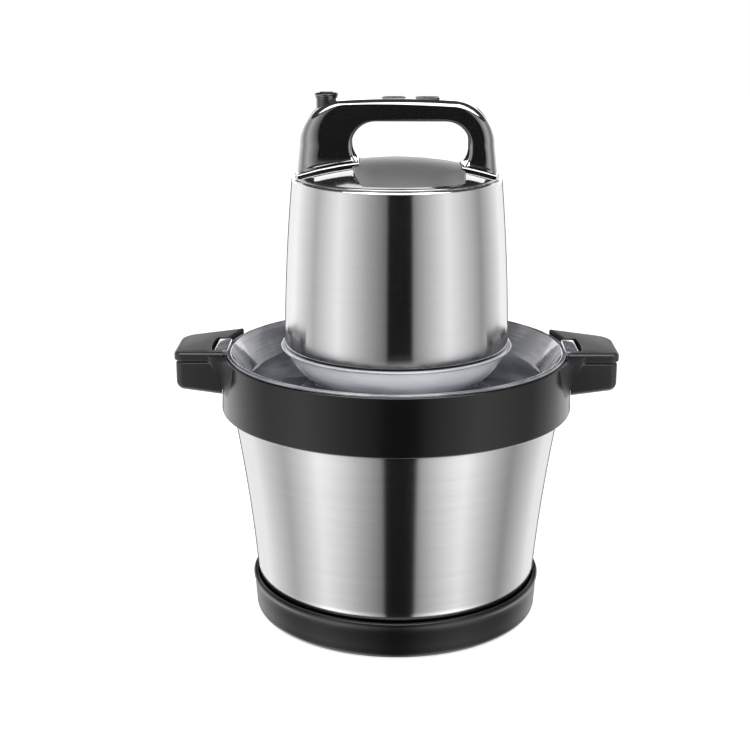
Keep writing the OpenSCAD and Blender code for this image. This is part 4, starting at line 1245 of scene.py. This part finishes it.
@dataclass
class Lid(Assembly):
    """Dish lid with its cone-shaped seat and two tabs."""

    rim_r: float = 116.2
    seat_z: float = 180.8
    top_z: float = 187.0
    dish_r: float = 113.0
    floor_r: float = 102.0
    floor_z: float = 165.5
    under_z: float = 163.1
    cone_foot_r: float = 55.5
    cone_top_r: float = 76.0
    cone_bow: float = 2.6
    lip_z: float = 190.8
    bore_r: float = 14.0
    # Reach and height of a tab's two ends
    tab_x: Flat = (114.4, 123.5)
    tab_z: Flat = (185.4, 189.0)

    def shell(self) -> Piece:
        """The lid: rim, dish wall, dish floor, and the cone with its lip.

        Returns:
            The new object.
        """
        low, inner = 2.7, 2.5
        slope = (self.dish_r - self.floor_r) / (self.top_z - self.floor_z)
        wall = self.dish_r + (self.seat_z - self.top_z) * slope
        profile = ([(self.bore_r, self.under_z)] + arc((self.floor_r - 4, self.under_z + 6), 6, -90, -60, 6)
                   + [(wall + low, self.seat_z), (self.rim_r, self.seat_z)]
                   + arc((self.rim_r - 0.8, self.top_z - 0.8), 0.8, 0, 90, 6)
                   + arc((self.dish_r + 0.6, self.top_z - 0.8), 0.8, 90, 165, 6)
                   + arc((self.floor_r - 3, self.floor_z + 3.6), 3.6, -30, -90, 10)
                   + [(self.cone_foot_r + 3.4, self.floor_z), (self.cone_foot_r + 2.2, self.floor_z + 0.3)]
                   + bow((self.cone_foot_r + 1.6, self.floor_z + 0.9), (self.cone_top_r, self.lip_z - 1.5),
                         self.cone_bow, 16)
                   + arc((self.cone_top_r + 2.2, self.lip_z - 0.6), 0.6, -80, 90, 6)
                   + arc((self.cone_top_r - inner + 0.5, self.lip_z - 0.5), 0.5, 90, 170, 4)
                   + [(self.cone_foot_r - inner, self.floor_z), (self.bore_r, self.floor_z)])
        shell = lathe("lid_dish", profile, FULL)
        for s in (-1, 1):
            x0, x1 = sorted(s * x for x in self.tab_x)
            half = TAB_ROOM - 0.8
            tab = stack("tab", lambda i: box_outline(x0 + i, x1 - i, -half + i, half - i, 1.5),
                        rim(0, self.tab_z[0], 0.5, -1, 3)[::-1] + rim(0, self.tab_z[1], 1.0, 1, 4))
            combine(shell, tab, Cut.JOIN)
        return shell

    def rows(self) -> Rows:
        """The lid alone."""
        yield self.shell(), "lid", SMOKE, "lid", "smoke_lid", 30


@dataclass
class Dome:
    """The curve of the cover's top, which other pieces follow."""

    top: float = 316.1
    radius: float = 225.7
    rim_r: float = 67.4

    def at(self, x: float, y: float) -> float:
        """Height of the dome at x and y."""
        return self.top - self.radius + math.sqrt(self.radius ** 2 - x * x - y * y)


@dataclass
class Housing(Assembly):
    """Motor base, steel sleeve, domed cover and the plate set in the dome."""

    dome: Dome = field(default_factory=Dome)
    sleeve_r0: float = 76.2
    sleeve_r1: float = 70.2
    sleeve_z0: float = 192.5
    sleeve_top: float = 304.8
    edge_r: float = 2.5
    sleeve_bow: float = 1.1
    wall: float = 1.0
    pad_half: float = 18.0
    pad_left: float = -25.0
    pad_right: float = 42.6
    play: float = 0.15

    def sleeve(self) -> Piece:
        """The steel sleeve, with its wall added after its faces are turned outwards.

        Returns:
            The new object.
        """
        host, side = places("sleeve_shell", [(0, 0, 0)]), self.sleeve_top - self.edge_r - self.sleeve_z0
        made = sleeve_tree().make(host, SLEEVE, Foot_radius=self.sleeve_r0 * MM,
                                  Top_radius=self.sleeve_r1 * MM, Foot_height=self.sleeve_z0 * MM,
                                  Side_height=side * MM, Edge_radius=self.edge_r * MM,
                                  Bow=self.sleeve_bow * MM)
        mod = made.modifiers.new("wall", "SOLIDIFY")
        mod.thickness, mod.offset = self.wall * MM, -1
        return bake(made)

    def base(self) -> Piece:
        """The conical motor base with its seats for the bearing and the gear.

        Returns:
            The new object.
        """
        outside = [(10, 166.3), (50.2, 166.3), (51.2, 166.7), (51.7, 167.5), (72.7, 190.9), (76.0, 191.1),
                   (76.0, 192.35), (74.9, 192.35), (74.9, 195.9), (71.35, 195.9)]
        gear_seat = [(71.35, 190.9), (67.9, 190.9), (49.5, 168.9), (31.5, 168.9), (31.5, 182.2),
                     (30.65, 182.2), (30.65, 181.65), (27.5, 181.65), (27.5, 168.9)]
        bearing_seat = [(14, 168.9), (14, 175.8), (11.05, 175.8), (11.05, 168.95), (10, 168.95)]
        return lathe("motor_base_cone", outside + gear_seat + bearing_seat)

    def pads(self, grow: float, levels: Sequence[Flat]) -> list[Piece]:
        """The blocks on the dome under the handle's legs, grown on every side, at the given levels."""
        return [self.pad(x0, x1, grow, levels) for x0, x1 in ((-70, self.pad_left), (70, self.pad_right))]

    def pad(self, x0: float, x1: float, grow: float, levels: Sequence[Flat]) -> Piece:
        """A block on the dome under one leg of the handle.

        Args:
            x0: Its end on the outside, clipped by the dome's rim.
            x1: Its end at the finger gap.
            grow: How much wider it is on every side.
            levels: Inset and height above the dome of each level.

        Returns:
            The new object.
        """
        half = self.pad_half + grow
        inner, s = x1 + math.copysign(grow, x1 - x0), math.copysign(1, x0)

        def outline(i: float) -> list[Flat]:
            """Outline inset by i.

            Args:
                i: The inset.

            Returns:
                The points in order.
            """
            r, w, far = self.dome.rim_r - i, half - i, inner + s * i
            a = math.degrees(math.asin(w / r))
            base = 180 if s < 0 else 0
            curve = arc((0, 0), r, base - a, base + a, 12)
            ends = [(curve[-1][0] + (far - curve[-1][0]) * k, curve[-1][1]) for k in (0.35, 0.7, 1)]
            return curve + ends + [(x, -y) for x, y in reversed(ends)]

        return stack("pad", outline, levels, self.dome.at)

    def cover(self) -> Piece:
        """The domed cover with its raised pads and the recess for the plate.

        Returns:
            The new object.
        """
        d = self.dome
        edge = d.at(d.rim_r, 0)
        radii = [d.rim_r * (1 - (1 - k / 26) ** 1.4) for k in range(1, 26)]
        profile = ([(d.rim_r - 2.6, 295), (69.0 - self.play, 295), (68.9, 301), (67.4, 302.8)]
                   + [(d.rim_r, edge - 1.4)]
                   + arc((d.rim_r - 1.2, edge - 1.15), 1.2, 0, 80, 5)
                   + [(r, d.at(r, 0)) for r in reversed(radii)]
                   + [(0, d.top), (0, d.top - 2.6)]
                   + [(r, d.at(r, 0) - 2.6) for r in radii if r < d.rim_r - 3])
        cover = lathe("cover_dome", profile)
        levels = [(0, -1.2), (0, 1.5), (0.25, 2.0)] + [(inset, 2.2) for inset in (0.8, 4, 9, 14)]
        for pad in self.pads(0, levels):
            combine(cover, pad, Cut.JOIN)
        return combine(cover, self.inlay("recess", self.play, ((0, -1.25), (0, 4))), Cut.AWAY)

    def inlay(self, name: str, grow: float, levels: Sequence[Flat]) -> Piece:
        """A prism with the plate's outline, cut away under the pads.

        Args:
            name: The piece's name.
            grow: How much larger it is than the plate.
            levels: Inset and height above the dome of each level.

        Returns:
            The new object.
        """
        # Centre x and radius of the circles that bound the plate
        circles, steps = ((0, 64.3), (202, 232.0), (-655, 700.0)), FULL

        def outline(i: float) -> list[Flat]:
            """Outline inset by i, found along rays; beyond 1 mm it shrinks towards the middle.

            Args:
                i: The inset.

            Returns:
                The points in order.
            """
            ways = [(math.cos(math.tau * k / steps), math.sin(math.tau * k / steps)) for k in range(steps)]
            edge, share = grow - min(i, 1.0), 1 - max(0.0, i - 1) / 10
            far = [min(x * c + math.sqrt((r + edge) ** 2 - (x * s) ** 2) for x, r in circles)
                   for c, s in ways]
            soft = [share * (far[k - 1] + 2 * far[k] + far[(k + 1) % steps]) / 4 for k in range(steps)]
            return [(r * c, r * s) for r, (c, s) in zip(soft, ways)]

        # Rings that close both ends follow the dome, which one large face can't
        insets = [1 + k * 0.95 for k in range(11)]
        (_, low), (_, high) = levels[0], levels[-1]
        levels = [(k, low) for k in reversed(insets)] + list(levels) + [(k, high) for k in insets]
        plate = stack(name, outline, levels, self.dome.at)
        for pad in self.pads(self.play - grow, ((0, -5), (0, 8))):
            combine(plate, pad, Cut.AWAY)
        return plate

    def plate(self) -> Piece:
        """The grey plate: it follows the dome and stands a little proud of it."""
        return self.inlay("dome_inlay", 0, ((0, -1.2), (0, -0.1), (0.08, 0.08), (0.25, 0.15)))

    def rows(self) -> Rows:
        """The motor base, the sleeve, the cover and its plate.

        Yields:
            What dress() takes for each piece.
        """
        yield self.base(), "motor_unit", MOULD, "motor_base", "gloss_black"
        yield self.sleeve(), "motor_unit", SLEEVE, "motor_sleeve", "brushed_steel", 40
        yield self.cover(), "motor_unit", GLOSS, "top_cover", "gloss_black", 25
        yield self.plate(), "motor_unit", DOME, "dome_plate", "dome_grey", 25


@dataclass(frozen=True)
class Station:
    """A place along the arch: outer and inner point, the skirt's growth, its share of the dome's curve."""

    outer: Flat
    inner: Flat
    grow: float = 0.0
    share: float = 0.0


@dataclass
class Handle(Assembly):
    """Arched handle in two shells, with its gland, buttons and screws."""

    dome: Dome = field(default_factory=Dome)
    half_depth: float = 15.0
    seam: float = 0.075
    wall: float = 2.5
    inner_edge: float = 2.2
    # Width and depth of the rounded outer edge on the left leg, along the top and on the right leg
    edges: tuple[Flat, Flat, Flat] = ((14.0, 12.0), (5.2, 5.2), (8.0, 8.0))
    shoulder: Flat = (35.0, 326.5)
    shoulder_r: float = 29.0
    crown: float = 1.1
    foot_x: float = 66.5
    gap_x0: float = -30.0
    gap_x1: float = 47.6
    gap_r: float = 16.0
    gap_top: float = 342.3
    lift: float = 2.35
    skirt: float = 1.5
    skirt_lip: float = 1.2
    skirt_h: float = 8.0
    flare: float = 3.6
    flare_h: float = 10.0
    curve_h: float = 14.0
    slope_z: float = 303.8
    gland_r: float = 6.6
    gland_x: float = -46.5
    button_x: tuple[float, float] = (-2.2, 19.8)
    button_half: Flat = (8.0, 6.0)
    button_top: float = 357.0
    flange_half: Flat = (9.4, 7.4)
    flange_z: Flat = (350.7, 352.5)
    spring_foot: float = 347.4
    spring_rise: float = 2.4
    spring_r: float = 3.0
    spring_turns: int = 3
    spring_keep: float = 0.38
    wire_r: float = 0.35
    # x, z and the depth of each head's face
    shell_screws: tuple[Spot, ...] = ((-56.5, 328.0, 13.1), (-32.0, 346.3, 14.6), (50.0, 341.3, 14.6),
                                      (56.2, 327.5, 14.3))
    mount_z: float = 298.65
    mount_screws: tuple[Flat, ...] = ((-45.0, -8.0), (-45.0, 8.0), (56.4, -8.0), (56.4, 8.0))

    def leg(self, side: int) -> list[Station]:
        """Stations of a leg from its foot upwards.

        Args:
            side: -1 for the left leg, 1 for the right one.

        Returns:
            The stations.
        """
        inner_x = self.gap_x0 if side < 0 else self.gap_x1
        sx, sz = self.shoulder
        out_top, in_top = sz, self.gap_top - self.gap_r
        out = []
        for h in (0, 0.7, 1.2, 1.6, 2.1, 2.8, 3.7, 4.8, 6.2, 7.8, 9.5, 12):
            past = max(0.0, h - self.skirt_lip) / self.skirt_h
            grow = self.skirt * max(0.0, 1 - past) ** 2.4
            z_out = self.dome.at(self.foot_x - 1, 0) + self.lift + h
            z_in = self.dome.at(inner_x, 0) + self.lift + h
            t = max(0.0, min(1.0, (z_out - self.slope_z) / (out_top - self.slope_z)))
            x_out = self.foot_x + (sx + self.shoulder_r - self.foot_x) * t
            flare = self.flare * max(0.0, 1 - h / self.flare_h) ** 2.2
            share = max(0.0, 1 - h / self.curve_h)
            if z_in < in_top and z_out < out_top:
                out.append(Station((side * x_out, z_out), (inner_x - side * flare, z_in), grow, share))
        out.append(Station((side * (sx + self.shoulder_r), out_top), (inner_x, in_top)))
        return out

    def stations(self) -> list[Station]:
        """Stations all along the arch, from the left foot to the right one.

        Returns:
            The stations.
        """
        sx, sz = self.shoulder
        left, right = self.leg(-1), self.leg(1)
        out_left = arc((-sx, sz), self.shoulder_r, 180, 90, 18)
        in_left = arc((self.gap_x0 + self.gap_r, self.gap_top - self.gap_r), self.gap_r, 180, 90, 18)
        out_right = arc((sx, sz), self.shoulder_r, 90, 0, 18)
        in_right = arc((self.gap_x1 - self.gap_r, self.gap_top - self.gap_r), self.gap_r, 90, 0, 18)
        top_out = bow(out_left[-1], out_right[0], -self.crown, 16)
        top_in = bow(in_left[-1], in_right[0], 0, 16)
        outer = out_left[1:-1] + top_out + out_right[1:-1]
        inner = in_left[1:-1] + top_in + in_right[1:-1]
        return left + [Station(o, i) for o, i in zip(outer, inner)] + right[::-1]

    def edge(self, station: Station) -> Flat:
        """Width and depth of the rounded outer edge at a station.

        Args:
            station: The station.

        Returns:
            The width and the depth.
        """
        x, z = station.outer
        down = max(0.0, min(1.0, (self.shoulder[1] + self.shoulder_r - z) / self.shoulder_r)) ** 0.8
        leg, top = self.edges[0 if x < 0 else 2], self.edges[1]
        return top[0] + (leg[0] - top[0]) * down, top[1] + (leg[1] - top[1]) * down

    def ring(self, station: Station, side: int) -> list[Spot]:
        """The C-shaped section of one shell at a station.

        Args:
            station: The station.
            side: -1 for the front shell, 1 for the rear one.

        Returns:
            The points of the section.
        """
        (ox, oz), (ix, iz) = station.outer, station.inner
        far = math.hypot(ix - ox, iz - oz)
        ux, uz = (ix - ox) / far, (iz - oz) / far
        outer, inner = self.dome.at(ox, 0), self.dome.at(ix, 0)
        d, r, w = self.half_depth + station.grow, self.inner_edge, self.wall
        a, b = self.edge(station)
        corner = 1.5
        loop = ([(0, self.seam), (0, (d - b) * 0.5)] + oval((a, d - b), a, b, 180, 90, 16)
                + [(a + (far - a - r) * k, d) for k in (0.33, 0.67)] + arc((far - r, d - r), r, 90, 0, 8)
                + [(far, (d - r) * 0.5), (far, self.seam), (far - w, self.seam)]
                + arc((far - w - corner, d - w - corner), corner, 0, 90, 3)
                + oval((a, d - b), a - w, b - w, 90, 180, 6) + [(w, self.seam)])
        ring = []
        for s, y in loop:
            x, z = ox + ux * s, oz + uz * s
            drop = self.dome.at(x, y) - (outer + (inner - outer) * s / far)
            ring.append((x, side * y, z + drop * station.share))
        return ring

    def shell(self, name: str, side: int) -> Piece:
        """One shell with its openings.

        Args:
            name: The piece's name.
            side: -1 for the front shell, 1 for the rear one.

        Returns:
            The new object.
        """
        shell = loft(name, [self.ring(s, side) for s in self.stations()])
        for x in self.button_x:
            w, d = (half + 0.3 for half in self.button_half)
            combine(shell, prism("hole", box_outline(x - w, x + w, -d, d, 2.3), 349, 360), Cut.AWAY)
        combine(shell, rod("bore", self.gland_r + 0.15, 335, 362, 64, (self.gland_x, 0)), Cut.AWAY)
        if side > 0:
            for x, z, face in self.shell_screws:
                well = rod("well", 2.85, 0, 5, 40)
                for v in well.data.vertices:
                    v.co = (x * MM + v.co.x, (face - 2) * MM + v.co.z, z * MM + v.co.y)
                combine(shell, tidy(well), Cut.AWAY)
        return shell

    def gland(self) -> Piece:
        """The gland's body with a moulded ring under the nut.

        Returns:
            The new object.
        """
        r, foot, bore = self.gland_r, self.gland_r + 1.6, self.gland_r - 2
        z0, z1 = 338.15, 358.4
        profile = [(bore, z0), (foot, z0), (foot, 340), (r, 340), (r, 358.1), (r - 0.3, z1), (bore, z1)]
        return lathe("gland_body", profile, 96, (self.gland_x, 0))

    def nut(self) -> Piece:
        """The gland's nut: a thin flared lip on a plain neck.

        Returns:
            The new object.
        """
        r = self.gland_r
        neck = [(r + 0.05, 356.2), (r + 0.35, 356.2), (r + 0.5, 356.5), (r + 0.55, 357.6), (r + 0.8, 358.1)]
        top = [(r + 0.3, 359.7), (r - 0.6, 360), (4.9, 359.8), (4.7, 359.4), (4.7, 358.55),
               (r + 0.05, 358.55)]
        profile = neck + arc((r + 0.6, 358.85), 0.6, -50, 60, 8) + top
        return lathe("gland_cap", profile, 96, (self.gland_x, 0))

    def button(self, name: str, x: float, dots: int) -> Piece:
        """A speed button with a dished top, raised dots and a flange that holds it in.

        Args:
            name: The piece's name.
            x: Its place along the grip.
            dots: The number of raised dots.

        Returns:
            The new object.
        """
        (w, d), (flange_w, flange_d), (z0, z1) = self.button_half, self.flange_half, self.flange_z

        def outline(i: float) -> list[Flat]:
            """Outline inset by i."""
            return box_outline(x - w + i, x + w - i, -d + i, d - i, max(0.4, 2 - i))

        dish = [(2.0, 356.85), (3.2, 356.7), (4.6, 356.62)]
        levels = [(0.3, 350.8), (0, 351.1)] + rim(0, self.button_top, 0.9, 1, 5) + dish
        key = stack(name, outline, levels)
        flange = box_outline(x - flange_w, x + flange_w, -flange_d, flange_d, 1)
        combine(key, prism("flange", flange, z0, z1), Cut.JOIN)
        face = [(0, 356), (0.8, 356)] + arc((0, 356.15), 0.8, 0, 90, 5)[:-1] + [(0, 356.95)]
        for k in range(dots):
            combine(key, lathe("dot", face, 24, (x + (k - (dots - 1) / 2) * 3.4, 0)), Cut.JOIN)
        return key

    def spring(self, name: str, x: float) -> Piece:
        """The coil of round wire under one speed button.

        Args:
            name: The piece's name.
            x: The button's place along the grip.

        Returns:
            The spring.
        """
        around, sides = 24, [math.tau * j / 8 for j in range(8)]
        steps = self.spring_turns * around
        rings = []
        for k in range(steps + 1):
            turn = math.tau * k / around
            z = self.spring_foot + self.wire_r + self.spring_rise * k / steps
            outs = [self.spring_r + self.wire_r * math.cos(a) for a in sides]
            rings.append([(x + out * math.cos(turn), out * math.sin(turn), z + self.wire_r * math.sin(a))
                          for out, a in zip(outs, sides)])
        return loft(name, rings)

    def rows(self) -> Rows:
        """The shells, the gland, the screws, and the buttons with their springs.

        Yields:
            What dress() takes for each piece.
        """
        spots = [(x, face, z) for x, z, face in self.shell_screws]
        screws = screw_tree().make(places("shell_screws", spots, (0, 1, 0)), SCREW, Head_height=1.85 * MM,
                                   Shank_length=24 * MM)
        spots = [(x, y, self.mount_z) for x, y in self.mount_screws]
        mounts = screw_tree().make(places("mount_screws", spots, (0, 0, -1)), SCREW, Head_radius=3.5 * MM,
                                   Head_height=3 * MM, Shank_radius=1.9 * MM, Shank_length=17 * MM)
        for half, side in (("front", -1), ("rear", 1)):
            shell = self.shell(f"handle_shell_{half}", side)
            yield shell, "motor_unit", GLOSS, f"handle_{half}", "gloss_black"
        yield self.gland(), "motor_unit", GLAND, "cord_gland", "satin_black"
        yield self.nut(), "motor_unit", GLAND, "gland_nut", "satin_black"
        for piece in (screws, mounts):
            yield piece, "motor_unit", SCREW, "handle_screws", "screw_steel"
        for key, dots, x in zip(("low", "high"), (1, 2), self.button_x):
            button = self.button(f"button_{key}", x, dots)
            yield button, f"{key}_button", KEYS, f"speed_button_{key}", "satin_black"
            spring = self.spring(f"spring_{key}", x)
            yield spring, "motor_unit", SCREW, f"button_spring_{key}", "screw_steel"
            # By now the spring is dressed, so its mesh is final
            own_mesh(spring)


@dataclass
class Inside:
    """CAD nodes whose shape is right: they keep it and get their finish."""

    finishes: dict[Finish, str] = field(default_factory=lambda: {
        SCREW: "spindle_nut blade_nut plate_screws tie_rods motor_screws",
        BEARING: "bowl_spindle ball_bearings motor_shaft output_shaft sun_gear planet_carrier "
                 "drive_coupling",
        RUBBER: "spindle_seal shaft_seal gland_grommet",
        GASKET: "lid_gasket lid_bush",
        BLADE: "lower_blade upper_blade",
        MOULD: "blade_hub blade_spacer blade_socket",
        SWITCH: "switch_block",
        CAST: "motor_plate upper_bracket",
        LAMINATE: "stator_core rotor_core",
        WIRE: "stator_windings rotor_windings",
        BARS: "commutator",
        NYLON: "cooling_fan ring_gear planet_gear_1 planet_gear_2 planet_gear_3",
        CARBON: "carbon_brushes",
        BRASS: "brush_holders"})

    def build(self) -> list[str]:
        """Gives each node its finish.

        Returns:
            The names of the nodes.
        """
        names = []
        for finish, nodes in self.finishes.items():
            for name in nodes.split():
                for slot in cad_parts[name].material_slots:
                    slot.material = material_of(finish)
                names.append(name)
        return names


@dataclass
class Studio:
    """Camera, lamps, floor and what shines in the gloss."""

    eye: Spot = (0.0, -0.983, 0.443)
    pitch: float = 15.66
    yaw: float = 0.85
    lens: float = 70.94
    ambient: float = 0.55
    floor_glow: float = 0.62
    # Azimuth in degrees, 0 towards the camera, and brightness of what stands there
    screens: tuple[Flat, ...] = (
        (-180, 0.02), (-164, 0.02), (-160, 1.1), (-130, 1.42), (-93, 0.67), (-62, 1.31), (-30, 0.55),
        (-11, 0.23), (-8, 0.012), (15, 0.012), (18, 0.35), (55, 1.25), (97, 0.45), (137, 1.32), (160, 1.1),
        (164, 0.02), (180, 0.02))
    # Lowest and highest rise and least or most turn in radians, and brightness
    softbox: tuple[float, ...] = (0.6, 1.3, 1.2, 6.0)
    back_panel: tuple[float, ...] = (-0.02, 0.2, 2.5, 2.2)
    # The screens end here, and the sky above them is this bright; the table begins here and adds this much
    sky: Flat = (0.45, 0.1)
    table: Flat = (-0.6, 1.6)
    aim: Spot = (0.0, 0.0, 0.18)
    # Name, place, side and watts
    lamps: tuple[tuple[str, Spot, float, float], ...] = (
        ("key", (-0.9, -0.9, 1.3), 0.9, 11.0), ("fill", (1.1, -0.5, 0.9), 0.9, 5.0),
        ("front", (0.1, -1.3, 0.55), 0.6, 9.0))

    def camera(self) -> None:
        """The camera at the photograph's height and distance."""
        data = bpy.data.cameras.new("camera")
        data.lens, data.sensor_width, data.clip_start = self.lens, 36.0, 0.01
        cam = link("camera", data)
        cam.location = self.eye
        cam.rotation_euler = (math.radians(90 - self.pitch), 0, math.radians(self.yaw))
        bpy.context.scene.camera = cam

    def lamp(self, name: str, at: Spot, size: float, power: float) -> None:
        """A soft square lamp aimed at the object, seen only by what it lights.

        Args:
            name: Its name.
            at: Its place.
            size: The length of its side.
            power: Its power in watts.
        """
        data = bpy.data.lights.new(name, "AREA")
        data.size, data.energy = size, power
        lamp = link(name, data)
        lamp.location = at
        lamp.rotation_euler = (Vector(self.aim) - Vector(at)).to_track_quat("-Z", "Y").to_euler()
        lamp.visible_glossy = False

    def world(self) -> None:
        """A white room for the camera, and screens and flags for the gloss."""
        world = bpy.data.worlds.new("studio")
        bpy.context.scene.world = world
        g = clean_graph(world)
        way = g.node("ShaderNodeTexCoord", {}, {}, out="Generated")
        turn = way.part("X").math("ARCTAN2", way.part("Y") * -1)
        wide, rise = turn.math("ABSOLUTE"), way.part("Z").math("ARCSINE")
        stops = [((a / 360 + 0.5), level / 2) for a, level in self.screens]
        ring = g.node("ShaderNodeValToRGB", {"stops": stops}, {0: turn / math.tau + 0.5})
        grey = g.node("ShaderNodeRGBToBW", {}, {0: ring}) * 2
        low, high, half, strong = self.softbox
        top = (rise > low) * (1 - (rise > high)) * (1 - (wide > half))
        low, high, half, bright = self.back_panel
        back = (wide > half) * (rise > low) * (1 - (rise > high))
        sky, sky_level = self.sky
        table_z, gain = self.table
        table = ((rise * -1 + table_z) * 5).clamped()
        side = grey * (1 + table * gain) * (1 - (rise > sky)) * (1 - back)
        glow = side + back * bright + (rise > sky) * sky_level + top * strong
        camera, glossy, through = (g.node("ShaderNodeLightPath", {}, {}, out=f"Is {kind} Ray")
                                   for kind in ("Camera", "Glossy", "Transmission"))
        seen = camera.math("MAXIMUM", through)
        level = seen + (1 - seen) * (glossy * glow + (1 - glossy) * self.ambient)
        shine = g.node("ShaderNodeBackground", {}, {"Color": (1, 1, 1), "Strength": level})
        g.node("ShaderNodeOutputWorld", {}, {"Surface": shine})

    def floor(self) -> None:
        """A pale floor that looks white and keeps the shadow."""
        far, corners = 4000, ((-1, -1), (1, -1), (1, 1), (-1, 1))
        floor = mesh_piece("floor", [(x * far, y * far, 0) for x, y in corners], [(0, 1, 2, 3)])
        mat = bpy.data.materials.new("Pale floor")
        g = clean_graph(mat)
        cloth = g.tint(g.noise((3, 3, 3)), (0.8, 0.8, 0.8), (0.82, 0.82, 0.82))
        matt = g.node("ShaderNodeBsdfDiffuse", {}, {"Color": cloth})
        white = g.node("ShaderNodeEmission", {}, {"Strength": self.floor_glow})
        camera = g.node("ShaderNodeLightPath", {}, {}, out="Is Camera Ray")
        both = g.node("ShaderNodeAddShader", {}, {0: matt, 1: white})
        mixed = g.node("ShaderNodeMixShader", {}, {0: camera, 1: matt, 2: both})
        g.node("ShaderNodeOutputMaterial", {}, {"Surface": mixed})
        floor.data.materials.append(mat)
        floor.visible_glossy = False

    def build(self) -> list[str]:
        """Sets up the studio.

        Returns:
            The names of its parts.
        """
        bpy.context.scene.view_settings.view_transform = "Standard"
        self.camera()
        self.world()
        self.floor()
        for lamp in self.lamps:
            self.lamp(*lamp)
        return ["camera", "world", "floor"] + [name for name, *_ in self.lamps]


def main() -> None:
    """Builds the object's sub-assemblies and the studio in order."""
    logging.basicConfig(level=logging.INFO, format="%(name)s: %(message)s")
    for assembly in (Studio(), Base(), Bowl(), Ears(), Lid(), Housing(), Handle(), Inside()):
        for name in assembly.build():
            LOG.info("%s: %s", type(assembly).__name__, name)


if __name__ == "__main__":
    main()
